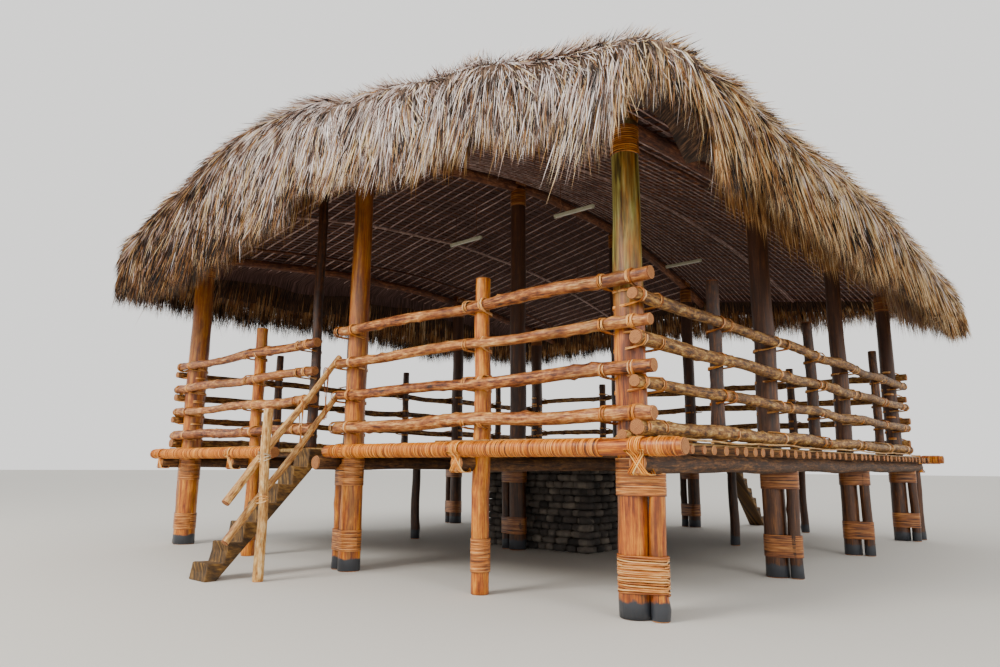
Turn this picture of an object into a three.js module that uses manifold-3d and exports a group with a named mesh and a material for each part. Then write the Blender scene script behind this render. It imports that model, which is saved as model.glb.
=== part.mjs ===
// Raised timber assembly hall: an open log platform on posts, log railings, notched-log
// stairs and one broad, drooping thatched roof. Millimetres, +Z up. The origin lies on the
// ground at the middle of the posts' plan, and the front with the main stair faces -Y.
import * as THREE from 'three';
import { mergeVertices } from 'three/addons/utils/BufferGeometryUtils.js';
import Module from 'manifold-3d';

const wasm = await Module();
wasm.setup();

// Plan of the posts
const sideX = 5315;
const middleX = 215;
const innerRightX = 2993;
const innerLeftX = -2785;
const rowY = [-5810, -1750, 2060, 5810];
const frontY = rowY[0];
const backY = rowY[3];

// Floor
const beamRadius = 110;
const beamHeight = 1640;
const beamSideShift = 340;
const beamFrontReach = 480;
const beamBackReach = 600;
const endPostY = 6300;
const joistRadius = 60;
const joistSpacing = 290;
const deckThickness = 40;
const deckEdgeX = 5960;
const deckEdgeY = 6080;
const edgeLogRadius = 92;
const edgeLogShift = 455;
const edgeLogHeight = 1812;

// Posts
const supportRadius = 98;
const supportShift = 290;
const postRadius = 115;

// Railings
const railRadius = 70;
const railShift = 250;
const railReach = 330;
const frontRailHeights = [2180, 2694, 3207, 3732];
const leftRailHeights = [2187, 2684, 3155, 3634];
const sideRailHeights = [2030, 2530, 3021, 3510];
const leftSideRailHeights = [2030, 2520, 2990, 3470];
const railTop = 4150;

// Roof frame
const ridgeRadius = 105;
const plateRadius = 95;
const ridgeCrown = 7580;
const ridgeDrop = 840;
const rightPlateCrown = 5980;
const rightPlateDrop = 235;
const leftPlateCrown = 6480;
const leftPlateDrop = 440;
const frameReach = 6990;
const rafterSide = 46;
const rafterSpacing = 600;
const rafterInset = 600;
const purlinRadius = 30;
const purlinShare = [0.53, 0.88];
const purlinReach = 6800;

// Thatch
const eaveRight = 6950;
const eaveLeft = 6950;
const eaveEnd = 7450;
const eaveCorner = 900;
const battenDepth = 50;
const capHalfWidth = 320;
const capHalfLength = 3000;
const thatchCrown = 8420;
const thatchCrownX = -900;
const thatchEndDrop = 920;
const thatchDrop = {
  right: { middle: 2400, end: 1900, curve: 1.15 },
  left: { middle: 2150, end: 1750, curve: 1.6 },
};

// Soft waves of the thatch, each with its height and how it turns along X and Y. Then the high tuft
// over the near right corner and the hollow in the front left slope
const thatchWaves = [
  { height: 60, alongX: 0.0011, alongY: 0.0007, start: 1 },
  { height: 50, alongX: -0.0013, alongY: 0.0023, start: 3.14 },
];
const thatchTufts = [
  { x: 6500, y: -6950, reach: 850, height: 200 },
  { x: -1700, y: -6300, reach: 1500, height: -150 },
];

// Lower edge of the hanging grass: places along each side and the height there. The sides change over
// into the ends within the corner blend
const cornerBlend = 830;
const fringeEdges = {
  front: [[-6950, 4950], [-4600, 4650], [-3100, 4560], [-1800, 4750], [300, 4980], [800, 5400], [2400, 5350],
    [3600, 5000], [4500, 5050], [5300, 4720], [5950, 4440], [6250, 5150], [6500, 5130], [6950, 4950]],
  back: [[-6950, 5050], [-4000, 5200], [-1000, 5350], [2000, 5200], [5000, 5250], [6950, 4900]],
  right: [[-7450, 5100], [-6950, 5050], [-6700, 4850], [-6400, 4150], [-5600, 4450], [-4500, 4300],
    [-2400, 4300], [-500, 4330], [1500, 4500], [3400, 4060], [5100, 4250], [6400, 4600], [7450, 4900]],
  left: [[-7450, 4950], [-4000, 4800], [-1000, 4950], [2000, 4750], [4500, 4950], [7450, 5050]],
};

// Working gap between pieces that touch, and between neighbouring thatch pieces
const seat = 0.4;
const thatchGap = 0.5;

const colours = {
  column: 0x9c5a2c,
  beam: 0x7d5230,
  deck: 0x8b6a45,
  rail: 0xa9683a,
  stair: 0x6f5a3c,
  handrail: 0xc9a878,
  stone: 0x4d4640,
  roofFrame: 0x5a3d30,
  thatch: 0xb09a86,
  lamp: 0xd9d8cf,
};

const hall = new THREE.Group();

function solidOf(geometry) {
  const bare = geometry.clone();
  bare.deleteAttribute('normal');
  bare.deleteAttribute('uv');
  const merged = mergeVertices(bare, 0.01);
  return new wasm.Manifold(new wasm.Mesh({
    numProp: 3,
    vertProperties: new Float32Array(merged.attributes.position.array),
    triVerts: new Uint32Array(merged.index.array),
  }));
}

function geometryOf(solid) {
  const mesh = solid.getMesh();
  const geometry = new THREE.BufferGeometry();
  geometry.setAttribute('position', new THREE.BufferAttribute(mesh.vertProperties, 3));
  geometry.setIndex(new THREE.BufferAttribute(mesh.triVerts, 1));
  geometry.computeVertexNormals();
  return geometry;
}

function joined(solids) {
  return solids.reduce((sum, solid) => sum.add(solid));
}

function carved(solid, cutters) {
  return cutters.reduce((rest, cutter) => rest.subtract(cutter), solid);
}

function addPiece(name, solid, colour, roughness = 0.8) {
  const material = new THREE.MeshStandardMaterial({ color: colour, roughness, metalness: 0 });
  const mesh = new THREE.Mesh(geometryOf(solid), material);
  mesh.name = name;
  hall.add(mesh);
}

function box(low, high) {
  const size = high.map((value, axis) => value - low[axis]);
  const geometry = new THREE.BoxGeometry(...size);
  geometry.translate(...low.map((value, axis) => value + size[axis] / 2));
  return solidOf(geometry);
}

// A straight log with one flat side up when it lies along X or Y
function straightLog(from, to, radiusFrom, radiusTo = radiusFrom, sides = 8, grow = 0) {
  const start = new THREE.Vector3(...from);
  const end = new THREE.Vector3(...to);
  const run = end.clone().sub(start);
  const length = run.length() + 2 * grow;
  const turn = Math.PI / sides;
  const geometry = new THREE.CylinderGeometry(
    radiusTo + grow, radiusFrom + grow, length, sides, 1, false, turn);
  geometry.applyQuaternion(
    new THREE.Quaternion().setFromUnitVectors(new THREE.Vector3(0, 1, 0), run.normalize()));
  geometry.translate(...start.add(end).multiplyScalar(0.5).toArray());
  return solidOf(geometry);
}

// A bent log of one thickness that follows a smooth line through the points
function bentLog(points, radius, sides = 8, steps = 8, grow = 0) {
  const section = new THREE.Shape();
  for (let side = 0; side < sides; side += 1) {
    const angle = (2 * Math.PI * (side + 0.5)) / sides;
    const reach = radius + grow;
    section[side ? 'lineTo' : 'moveTo'](reach * Math.cos(angle), reach * Math.sin(angle));
  }
  section.closePath();
  const path = new THREE.CatmullRomCurve3(points.map((point) => new THREE.Vector3(...point)));
  return solidOf(new THREE.ExtrudeGeometry(section, { steps, extrudePath: path }));
}

// Roof frame surface
function endShare(y) {
  return (y / backY) ** 2;
}

function ridgeHeight(y) {
  return ridgeCrown - ridgeDrop * endShare(y);
}

function plateHeight(side, y) {
  return side > 0
    ? rightPlateCrown - rightPlateDrop * endShare(y)
    : leftPlateCrown - leftPlateDrop * endShare(y);
}

// Height of the line from the top of the ridge log over the top of the side log
function rafterHeight(x, y) {
  const side = x > middleX ? 1 : -1;
  const share = (x - middleX) / (side * sideX - middleX);
  const top = ridgeHeight(y) + ridgeRadius;
  const low = plateHeight(side, y) + plateRadius;
  return top + (low - top) * share;
}

function archedLogPoints(x, heightAt, reach = frameReach) {
  const points = [];
  const bays = 8;
  for (let bay = 0; bay <= bays; bay += 1) {
    const y = -reach + (2 * reach * bay) / bays;
    points.push([x, y, heightAt(y)]);
  }
  return points;
}

function ridgeLog(grow = 0) {
  const line = archedLogPoints(middleX, ridgeHeight, frameReach + grow);
  return bentLog(line, ridgeRadius, 8, 12, grow);
}

function sidePlate(side, grow = 0) {
  const line = archedLogPoints(side * sideX, (y) => plateHeight(side, y), frameReach + grow);
  return bentLog(line, plateRadius, 8, 12, grow);
}

const roofLogsGrown = [ridgeLog(seat), sidePlate(1, seat), sidePlate(-1, seat)];

function buildRoofLogs() {
  addPiece('ridge_log', ridgeLog(), colours.roofFrame);
  addPiece('right_side_plate', sidePlate(1), colours.roofFrame);
  addPiece('left_side_plate', sidePlate(-1), colours.roofFrame);
}

// Columns: a row of three on each grid line, numbered from the front
const columnLines = [
  { line: 'right', x: sideX, radii: [[190, 165], [172, 155], [155, 140], [170, 155]] },
  { line: 'middle', x: middleX, radii: [[170, 150], [170, 155], [165, 150], [165, 150]] },
  { line: 'left', x: -sideX, radii: [[205, 195], [175, 160], [170, 155], [190, 175]] },
];
const rowNames = ['front', 'second', 'third', 'back'];

function columnTop(line, y) {
  if (line === 'middle') {
    return ridgeHeight(y);
  }
  return plateHeight(line === 'right' ? 1 : -1, y);
}

function columnShaft(column, row, grow = 0) {
  const y = rowY[row];
  const [low, high] = column.radii[row];
  return straightLog(
    [column.x, y, 0], [column.x, y, columnTop(column.line, y)], low, high, 10, grow);
}

function buildColumns() {
  for (const column of columnLines) {
    rowNames.forEach((rowName, row) => {
      const shaft = carved(columnShaft(column, row), roofLogsGrown);
      addPiece(`column_${column.line}_${rowName}`, shaft, colours.column);
    });
  }
}

// Floor trestles: a front-to-back beam on its row of short posts
const innerPostY = [rowY[1], rowY[2], endPostY];
const trestles = [
  { name: 'trestle_right', x: sideX + beamSideShift, postX: sideX + supportShift },
  { name: 'trestle_inner_right', x: innerRightX, postX: innerRightX, postY: innerPostY },
  { name: 'trestle_middle', x: middleX - beamSideShift, postX: middleX - supportShift, postY: rowY },
  { name: 'trestle_inner_left', x: innerLeftX, postX: innerLeftX, postY: innerPostY },
  { name: 'trestle_left', x: -sideX - beamSideShift, postX: -sideX - supportShift },
];

function trestleBeam(trestle, grow = 0) {
  return straightLog([trestle.x, frontY - beamFrontReach, beamHeight],
    [trestle.x, backY + beamBackReach, beamHeight], beamRadius, beamRadius, 8, grow);
}

function edgeLog(side, fromX, toX, grow = 0) {
  const y = side * (backY + edgeLogShift);
  return straightLog([fromX, y, edgeLogHeight], [toX, y, edgeLogHeight], edgeLogRadius,
    edgeLogRadius, 8, grow);
}

const edgeLogRuns = {
  edge_log_front_right: { side: -1, fromX: 120, toX: 6200 },
  edge_log_front_left: { side: -1, fromX: -6020, toX: -1330 },
  edge_log_back: { side: 1, fromX: -6020, toX: 6200 },
};

function everyEdgeLog(grow) {
  return Object.values(edgeLogRuns).map((run) => edgeLog(run.side, run.fromX, run.toX, grow));
}

function everyColumn(grow) {
  return columnLines.flatMap((column) => rowNames.map((_, row) => columnShaft(column, row, grow)));
}

const columnsGrown = everyColumn(seat);

function buildTrestles() {
  const edgeLogsGrown = everyEdgeLog(seat);
  for (const trestle of trestles) {
    const postY = trestle.postY ?? [...rowY, endPostY];
    const posts = postY.map((y) => straightLog(
      [trestle.postX, y, 0], [trestle.postX, y, beamHeight], supportRadius));
    const frame = joined([trestleBeam(trestle), ...posts]);
    addPiece(trestle.name, carved(frame, [...edgeLogsGrown, ...columnsGrown]), colours.beam);
  }
  for (const [name, run] of Object.entries(edgeLogRuns)) {
    addPiece(name, edgeLog(run.side, run.fromX, run.toX), colours.column);
  }
}

// Floor: close-set joists across the beams under a thin split-cane deck
const beamTop = beamHeight + beamRadius * Math.cos(Math.PI / 8);
const joistHalf = joistRadius * Math.cos(Math.PI / 6);
const deckSink = 6;
const joistHeight = beamTop + joistHalf + seat;
const deckBottom = joistHeight + joistHalf - deckSink;
const deckTop = deckBottom + deckThickness;

const standingPosts = [
  { name: 'front_right', x: innerRightX + 95, y: frontY - 105, low: 0, radius: 125 },
  { name: 'front_left', x: innerLeftX + 180, y: frontY - 105, low: 0, radius: 120 },
  { name: 'right', x: sideX + 115, y: -3800, low: deckTop + seat, radius: 100 },
  { name: 'right', x: sideX + 115, y: 0, low: deckTop + seat, radius: 100 },
  { name: 'right', x: sideX + 115, y: 4130, low: deckTop + seat, radius: 100 },
  { name: 'left', x: -sideX - 115, y: -3780, low: deckTop + seat, radius: 100 },
  { name: 'left', x: -sideX - 115, y: 155, low: deckTop + seat, radius: 100 },
  { name: 'left', x: -sideX - 115, y: 4000, low: deckTop + seat, radius: 100 },
  { name: 'back', x: innerRightX, y: backY + 110, low: deckTop + seat, radius: postRadius },
  { name: 'back', x: innerLeftX, y: backY + 110, low: deckTop + seat, radius: postRadius },
];

function standingPost(post, grow = 0) {
  return straightLog([post.x, post.y, post.low], [post.x, post.y, railTop], post.radius,
    post.radius * 0.85, 8, grow);
}

const postsThroughFloor = standingPosts.filter((post) => post.low === 0);

function buildFloor() {
  const deck = box([-deckEdgeX + 60, -deckEdgeY, deckBottom], [deckEdgeX - 60, deckEdgeY, deckTop]);
  const joists = [];
  const count = Math.floor((2 * (deckEdgeY - joistRadius)) / joistSpacing);
  for (let index = 0; index <= count; index += 1) {
    const y = (index - count / 2) * joistSpacing;
    joists.push(straightLog([-deckEdgeX, y, joistHeight], [deckEdgeX, y, joistHeight],
      joistRadius, joistRadius, 6));
  }
  const cutters = [...columnsGrown, ...postsThroughFloor.map((post) => standingPost(post, seat))];
  addPiece('floor_deck_and_joists', carved(joined([deck, ...joists]), cutters), colours.deck);
}

// Railings: four logs lashed outside the columns and carried by their own posts
function railLine(from, to, bend, grow = 0) {
  const middle = from.map((value, axis) => (value + to[axis]) / 2 + bend[axis]);
  return bentLog([from, middle, to], railRadius, 7, 4, grow);
}

function railBend(index) {
  return 14 * Math.cos(2.4 * index + 0.6);
}

function railsAlongX(y, fromX, toX, heights, grow = 0) {
  return heights.map((z, index) => railLine(
    [fromX - grow, y, z], [toX + grow, y, z], [0, 0, railBend(index)], grow));
}

function railsAlongY(x, heights) {
  const reach = backY + railReach;
  return heights.map((z, index) => railLine(
    [x, -reach, z], [x, reach, z], [0, 0, railBend(index + 2)]));
}

function addRailing(name, rails, posts = postsOf(name)) {
  const cutters = [
    ...columnsGrown,
    ...trestles.map((trestle) => trestleBeam(trestle, seat)),
    ...everyEdgeLog(seat),
  ];
  addPiece(name, carved(joined([...rails, ...posts.map((post) => standingPost(post))]), cutters),
    colours.rail);
}

function postsOf(name) {
  return standingPosts.filter((post) => `railing_${post.name}` === name);
}

const frontRailY = frontY - railShift;
const railEndX = sideX + railReach;

function frontRightRails(grow = 0) {
  return railsAlongX(frontRailY, 45, railEndX, frontRailHeights, grow);
}

function buildRailings() {
  addRailing('railing_front_right', frontRightRails());
  addRailing('railing_front_left', railsAlongX(frontRailY, -railEndX, -560, leftRailHeights));
  addRailing('railing_back', railsAlongX(backY + railShift, -railEndX, railEndX, frontRailHeights));
  addRailing('railing_right', railsAlongY(sideX + railShift, sideRailHeights));
  addRailing('railing_left', railsAlongY(-sideX - railShift, leftSideRailHeights));
}

// Slender post beside the stair opening, from the floor to the roof frame
const stairPostX = -966;

function buildStairPost() {
  const top = rafterHeight(stairPostX, frontY) - 4;
  addPiece('stair_side_post', straightLog([stairPostX, frontY, deckTop + seat],
    [stairPostX, frontY, top], 92, 78), colours.column);
}

// Notched-log stair: a saw-tooth profile leaned on the floor edge
function notchedLog(x, width, footY, topY, side) {
  const steps = 7;
  const rise = deckTop / steps;
  const run = (Math.abs(footY - topY)) / steps;
  const depth = 210;
  const profile = new THREE.Shape();
  profile.moveTo(0, 0);
  for (let step = 0; step < steps; step += 1) {
    profile.lineTo(run * step, rise * (step + 1));
    profile.lineTo(run * (step + 1), rise * (step + 1) - 25);
  }
  profile.lineTo(run * steps, rise * steps - 25 - depth);
  profile.lineTo(depth * 1.1, 0);
  profile.closePath();
  const geometry = new THREE.ExtrudeGeometry(profile, { depth: width, bevelEnabled: false });
  const place = new THREE.Matrix4().makeBasis(
    new THREE.Vector3(0, side, 0), new THREE.Vector3(0, 0, 1), new THREE.Vector3(side, 0, 0));
  geometry.applyMatrix4(place);
  geometry.translate(x - (side * width) / 2, footY, 0);
  return solidOf(geometry);
}

const frontStair = { x: -500, width: 470, footY: -7880, topY: -6060 };
const backStair = { x: 1150, width: 420, footY: 7895, topY: 6030 };

function buildStairs() {
  const cutters = [
    ...everyEdgeLog(seat),
    ...trestles.map((trestle) => trestleBeam(trestle, seat)),
    box([-deckEdgeX, -deckEdgeY - seat, deckBottom - 120], [deckEdgeX, deckEdgeY + seat, deckTop + 50]),
  ];
  const front = notchedLog(frontStair.x, frontStair.width, frontStair.footY, frontStair.topY, 1);
  const back = notchedLog(backStair.x, backStair.width, backStair.footY, backStair.topY, -1);
  addPiece('stair_front', carved(front, cutters), colours.stair);
  addPiece('stair_back', carved(back, cutters), colours.stair);
}

// Two sloping pole handrails on one peeled post, their heads against the front middle column
function buildHandrail() {
  const upper = straightLog([110, -7860, 1075], [-20, -5700, 3690], 48, 46);
  const lower = straightLog([110, -7830, 545], [-20, -5700, 3060], 47, 45);
  const post = straightLog([172, -7330, 0], [172, -7330, 2410], 62, 58);
  const cutters = [
    ...columnsGrown,
    ...everyEdgeLog(seat),
    ...frontRightRails(seat),
  ];
  const handrail = carved(joined([upper, lower, post]), cutters);
  addPiece('stair_handrail', handrail, colours.handrail);
}

// Dry-stone hearth base under the middle of the floor
function buildHearth() {
  const hearth = box([-900, -1480, 0], [1720, 1300, deckBottom - 2 * joistHalf - 1]);
  const cutters = [...columnsGrown, ...trestles.map((trestle) => trestleBeam(trestle, seat))];
  addPiece('hearth_base', carved(hearth, cutters), colours.stone);
}

// Rafters: square poles across each slope, tied by purlin poles underneath
function rafter(side, y, grow = 0) {
  const endX = side > 0 ? eaveRight - rafterInset : -eaveLeft + rafterInset;
  const startX = middleX + side * 12;
  const lift = rafterSide * 0.5;
  return straightLog([startX, y, rafterHeight(startX, y) + lift],
    [endX, y, rafterHeight(endX, y) + lift], rafterSide * 0.7, rafterSide * 0.7, 4, grow);
}

const rafterRows = [];
for (let row = -11; row <= 11; row += 1) {
  rafterRows.push(row * rafterSpacing);
}

function rafterLattice(side, grow = 0) {
  const parts = rafterRows.map((y) => rafter(side, y, grow));
  for (const share of purlinShare) {
    const x = middleX + (side * sideX - middleX) * share;
    const line = archedLogPoints(x, (y) => rafterHeight(x, y) - purlinRadius * 0.3, purlinReach);
    parts.push(bentLog(line, purlinRadius, 4, 10, grow));
  }
  return joined(parts);
}

function buildRafters() {
  addPiece('rafters_right', carved(rafterLattice(1), roofLogsGrown), colours.roofFrame);
  addPiece('rafters_left', carved(rafterLattice(-1), roofLogsGrown), colours.roofFrame);
}

// Thatch surfaces
function thatchWave(x, y) {
  let height = 0;
  for (const wave of thatchWaves) {
    height += wave.height * Math.sin(wave.alongX * x + wave.alongY * y + wave.start);
  }
  for (const tuft of thatchTufts) {
    const away = ((x - tuft.x) ** 2 + (y - tuft.y) ** 2) / tuft.reach ** 2;
    height += tuft.height * Math.exp(-away);
  }
  return height;
}

function thatchTop(x, y) {
  const side = x > thatchCrownX ? 'right' : 'left';
  const half = side === 'right' ? eaveRight - thatchCrownX : eaveLeft + thatchCrownX;
  const share = Math.abs(x - thatchCrownX) / half;
  const end = Math.min(Math.abs(y) / eaveEnd, 1) ** 2;
  const drop = THREE.MathUtils.lerp(thatchDrop[side].middle, thatchDrop[side].end, end);
  const plain = thatchCrown - thatchEndDrop * end - drop * share ** thatchDrop[side].curve;
  return plain + thatchWave(x, y);
}

function thatchUnderside(x, y) {
  return rafterHeight(x, y) + rafterSide + battenDepth;
}

// Eave outline in plan: a rectangle with round corners, share runs from corner to corner
function eavePoint(sector, share) {
  const [fromX, fromY, toX, toY] = {
    right: [eaveRight, -eaveEnd, eaveRight, eaveEnd],
    back: [eaveRight, eaveEnd, -eaveLeft, eaveEnd],
    left: [-eaveLeft, eaveEnd, -eaveLeft, -eaveEnd],
    front: [-eaveLeft, -eaveEnd, eaveRight, -eaveEnd],
  }[sector];
  const length = Math.hypot(toX - fromX, toY - fromY);
  const middle = fromX === toX ? length / 2 : Math.abs(middleX - fromX);
  const along = share < 0.5 ? 2 * share * middle : middle + (2 * share - 1) * (length - middle);
  const near = Math.min(along, length - along);
  const inward = near < eaveCorner
    ? eaveCorner - Math.sqrt(eaveCorner ** 2 - (eaveCorner - near) ** 2)
    : 0;
  const limited = Math.min(inward, eaveCorner * (1 - Math.SQRT1_2));
  const pull = near < eaveCorner * (1 - Math.SQRT1_2) ? eaveCorner * (1 - Math.SQRT1_2) - near : 0;
  const towards = along < length / 2 ? pull : -pull;
  const directionX = (toX - fromX) / length;
  const directionY = (toY - fromY) / length;
  return [
    fromX + directionX * (along + towards) - directionY * limited,
    fromY + directionY * (along + towards) + directionX * limited,
  ];
}

function ridgePoint(sector, share) {
  const across = capHalfWidth;
  const along = capHalfLength;
  const ends = {
    right: [across, -along, across, along],
    back: [across, along, -across, along],
    left: [-across, along, -across, -along],
    front: [-across, -along, across, -along],
  }[sector];
  return [
    middleX + ends[0] + (ends[2] - ends[0]) * share,
    ends[1] + (ends[3] - ends[1]) * share,
  ];
}

function heightAlong(points, place) {
  const last = points.length - 1;
  const after = points.findIndex(([start]) => start > place);
  if (after === 0 || after < 0) {
    return points[after < 0 ? last : 0][1];
  }
  const [from, low] = points[after - 1];
  const [to, high] = points[after];
  return THREE.MathUtils.lerp(low, high, (place - from) / (to - from));
}

function fringeHeight(x, y) {
  const side = heightAlong(x > 0 ? fringeEdges.right : fringeEdges.left, y);
  const end = heightAlong(y < 0 ? fringeEdges.front : fringeEdges.back, x);
  const beyondCorner = Math.abs(y) - (Math.abs(x) * eaveEnd) / eaveRight;
  return THREE.MathUtils.lerp(side, end, THREE.MathUtils.clamp(beyondCorner / cornerBlend + 0.5, 0, 1));
}

const slopeShare = 0.62;

function thatchPoint(sector, share, down, outer) {
  const [startX, startY] = ridgePoint(sector, share);
  const [endX, endY] = eavePoint(sector, share);
  const edge = outer ? 0.93 : 0.875;
  const slope = Math.min(down / slopeShare, 1);
  const drop = Math.max((down - slopeShare) / (1 - slopeShare), 0);
  const bulge = outer ? (1 - edge) * Math.sin(Math.min(drop * 2.2, 1) * Math.PI / 2) : 0.045 * drop;
  const reach = edge * slope + bulge;
  const x = startX + (endX - startX) * reach;
  const y = startY + (endY - startY) * reach;
  const rimX = startX + (endX - startX) * edge;
  const rimY = startY + (endY - startY) * edge;
  const surface = outer ? thatchTop : thatchUnderside;
  if (drop === 0) {
    return [x, y, surface(x, y)];
  }
  const rim = surface(rimX, rimY);
  return [x, y, rim + (fringeHeight(endX, endY) - rim) * drop ** 1.15];
}

function thatchSector(sector, across, shift) {
  const rows = 13;
  const geometry = new THREE.BoxGeometry(1, 1, 1, across, rows, 1);
  const place = geometry.attributes.position;
  for (let index = 0; index < place.count; index += 1) {
    const share = place.getX(index) + 0.5;
    const down = 0.5 - place.getY(index);
    const outer = place.getZ(index) > 0;
    const [x, y, z] = thatchPoint(sector, share, down, outer);
    place.setXYZ(index, x + shift[0], y + shift[1], z);
  }
  return solidOf(geometry);
}

function thatchCap() {
  const geometry = new THREE.BoxGeometry(1, 1, 1, 2, 8, 1);
  const place = geometry.attributes.position;
  for (let index = 0; index < place.count; index += 1) {
    const x = middleX + place.getX(index) * 2 * capHalfWidth;
    const y = place.getY(index) * 2 * capHalfLength;
    const outer = place.getZ(index) > 0;
    place.setXYZ(index, x, y, outer ? thatchTop(x, y) + 60 : thatchUnderside(x, y));
  }
  return solidOf(geometry);
}

function buildThatch() {
  const latticeGrown = [rafterLattice(1, seat), rafterLattice(-1, seat)];
  const cutters = [...latticeGrown, ...roofLogsGrown];
  const sectors = {
    right: [20, [thatchGap, 0]],
    left: [20, [-thatchGap, 0]],
    front: [20, [0, -thatchGap]],
    back: [20, [0, thatchGap]],
  };
  for (const [sector, [across, shift]] of Object.entries(sectors)) {
    addPiece(`thatch_${sector}`, carved(thatchSector(sector, across, shift), cutters),
      colours.thatch, 1);
  }
  addPiece('thatch_ridge', carved(thatchCap(), cutters), colours.thatch, 1);
}

// Lamp battens hung from the rafters on two rods
const lamps = [
  { name: 'lamp_front_right', x: 1700, y: -1800, z: 6600 },
  { name: 'lamp_front_left', x: -1290, y: -1800, z: 6600 },
  { name: 'lamp_back_right', x: 1600, y: 3000, z: 6600 },
  { name: 'lamp_back_left', x: -1290, y: 3000, z: 6600 },
];

function buildLamps() {
  for (const lamp of lamps) {
    const batten = box([lamp.x - 480, lamp.y - 35, lamp.z - 30], [lamp.x + 480, lamp.y + 35, lamp.z + 30]);
    const rods = [-320, 320].map((offset) => straightLog([lamp.x + offset, lamp.y, lamp.z],
      [lamp.x + offset, lamp.y, rafterHeight(lamp.x + offset, lamp.y)], 6, 6, 6));
    const cutters = [rafter(lamp.x > middleX ? 1 : -1, lamp.y, seat)];
    addPiece(lamp.name, carved(joined([batten, ...rods]), cutters), colours.lamp, 0.4);
  }
}

buildColumns();
buildTrestles();
buildFloor();
buildRailings();
buildStairPost();
buildStairs();
buildHandrail();
buildHearth();
buildRoofLogs();
buildRafters();
buildThatch();
buildLamps();

export default hall;
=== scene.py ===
# Raised timber assembly hall: log columns, cane lashings, log railings and a shaggy thatched roof
import math
import bpy
import numpy as np
from mathutils import Matrix, Vector


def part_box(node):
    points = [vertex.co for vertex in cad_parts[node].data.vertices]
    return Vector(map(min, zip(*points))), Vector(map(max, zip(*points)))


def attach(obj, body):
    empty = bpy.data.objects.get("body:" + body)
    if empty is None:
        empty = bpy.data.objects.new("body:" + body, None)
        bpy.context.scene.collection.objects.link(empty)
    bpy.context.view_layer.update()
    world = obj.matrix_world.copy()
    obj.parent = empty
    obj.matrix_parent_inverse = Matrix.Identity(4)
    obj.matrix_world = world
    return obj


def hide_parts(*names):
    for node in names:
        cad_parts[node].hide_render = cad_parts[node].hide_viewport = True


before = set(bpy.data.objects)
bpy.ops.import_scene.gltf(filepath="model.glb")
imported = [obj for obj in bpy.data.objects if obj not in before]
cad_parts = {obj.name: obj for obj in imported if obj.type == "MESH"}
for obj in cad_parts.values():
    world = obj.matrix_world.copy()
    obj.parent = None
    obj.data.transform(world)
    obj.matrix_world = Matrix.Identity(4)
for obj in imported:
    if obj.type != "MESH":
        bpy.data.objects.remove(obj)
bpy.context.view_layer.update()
dice = np.random.default_rng(11)  # one seeded source for every small irregularity
phaseTurn = 6.28  # a full turn, near enough for the phase of a wave


# Camera, at the photograph's place
cameraView = {
    "lens": 25.775, "sensor": 36, "reach": 500,
    "place": (9.6016, -12.9222, 1.60), "turn": 41.504, "tilt": 10.512, "roll": 0.368,
}


def setCamera():
    camera = bpy.data.objects.new("hallCamera", bpy.data.cameras.new("hallCamera"))
    bpy.context.scene.collection.objects.link(camera)
    camera.data.sensor_width = cameraView["sensor"]
    camera.data.lens = cameraView["lens"]
    camera.data.clip_end = cameraView["reach"]
    turn = Matrix.Rotation(math.radians(cameraView["turn"]), 4, "Z")
    tilt = Matrix.Rotation(math.radians(90 + cameraView["tilt"]), 4, "X")
    roll = Matrix.Rotation(math.radians(cameraView["roll"]), 4, "Z")
    camera.matrix_world = Matrix.Translation(cameraView["place"]) @ turn @ tilt @ roll
    bpy.context.scene.camera = camera


# Material nodes
def tint(code):
    channels = [int(code[i:i + 2], 16) / 255 for i in (0, 2, 4)]
    return [c / 12.92 if c < 0.04045 else ((c + 0.055) / 1.055) ** 2.4 for c in channels] + [1]


def addNode(tree, kind, inputs=None, **settings):
    node = tree.nodes.new("ShaderNode" + kind)
    for key, value in settings.items():
        setattr(node, key, value)
    for key, value in (inputs or {}).items():
        if isinstance(value, bpy.types.NodeSocket):
            tree.links.new(value, node.inputs[key])
        else:
            node.inputs[key].default_value = value
    return node


def addRamp(tree, factor, stops):
    ramp = addNode(tree, "ValToRGB", {"Fac": factor})
    while len(ramp.color_ramp.elements) < len(stops):
        ramp.color_ramp.elements.new(0.5)
    for element, (place, code) in zip(ramp.color_ramp.elements, stops):
        element.position = place
        element.color = tint(code)
    return ramp.outputs["Color"]


def addNoise(tree, vector, scale, stretch=(1, 1, 1), detail=4, roughness=0.55):
    mapping = addNode(tree, "Mapping", {"Vector": vector, "Scale": stretch})
    noise = addNode(tree, "TexNoise", {
        "Vector": mapping.outputs["Vector"], "Scale": scale, "Detail": detail, "Roughness": roughness})
    return noise.outputs["Fac"]


def addRange(tree, value, low, high, to=(0, 1)):
    return addNode(tree, "MapRange", {
        "Value": value, "From Min": low, "From Max": high, "To Min": to[0], "To Max": to[1]},
        clamp=True).outputs["Result"]


def addMath(tree, operation, first, second):
    return addNode(tree, "Math", {0: first, 1: second}, operation=operation).outputs["Value"]


def addMix(tree, factor, first, second):
    node = addNode(tree, "Mix", data_type="RGBA")
    for key, value in ((0, factor), (6, first), (7, second)):  # the colour sockets of this node
        if isinstance(value, bpy.types.NodeSocket):
            tree.links.new(value, node.inputs[key])
        else:
            node.inputs[key].default_value = value
    return node.outputs[2]


def addShare(tree, value, share):
    return addMath(tree, "MULTIPLY", value, share)


# How far a value lies from its middle, a half
def addSwing(tree, value, share):
    return addShare(tree, addMath(tree, "SUBTRACT", value, 0.5), share)


# Lays a colour over another one where the value passes from low to high
def addOverlay(tree, colour, value, low, high, share, code):
    return addMix(tree, addRange(tree, value, low, high, (0, share)), colour, tint(code))


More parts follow.
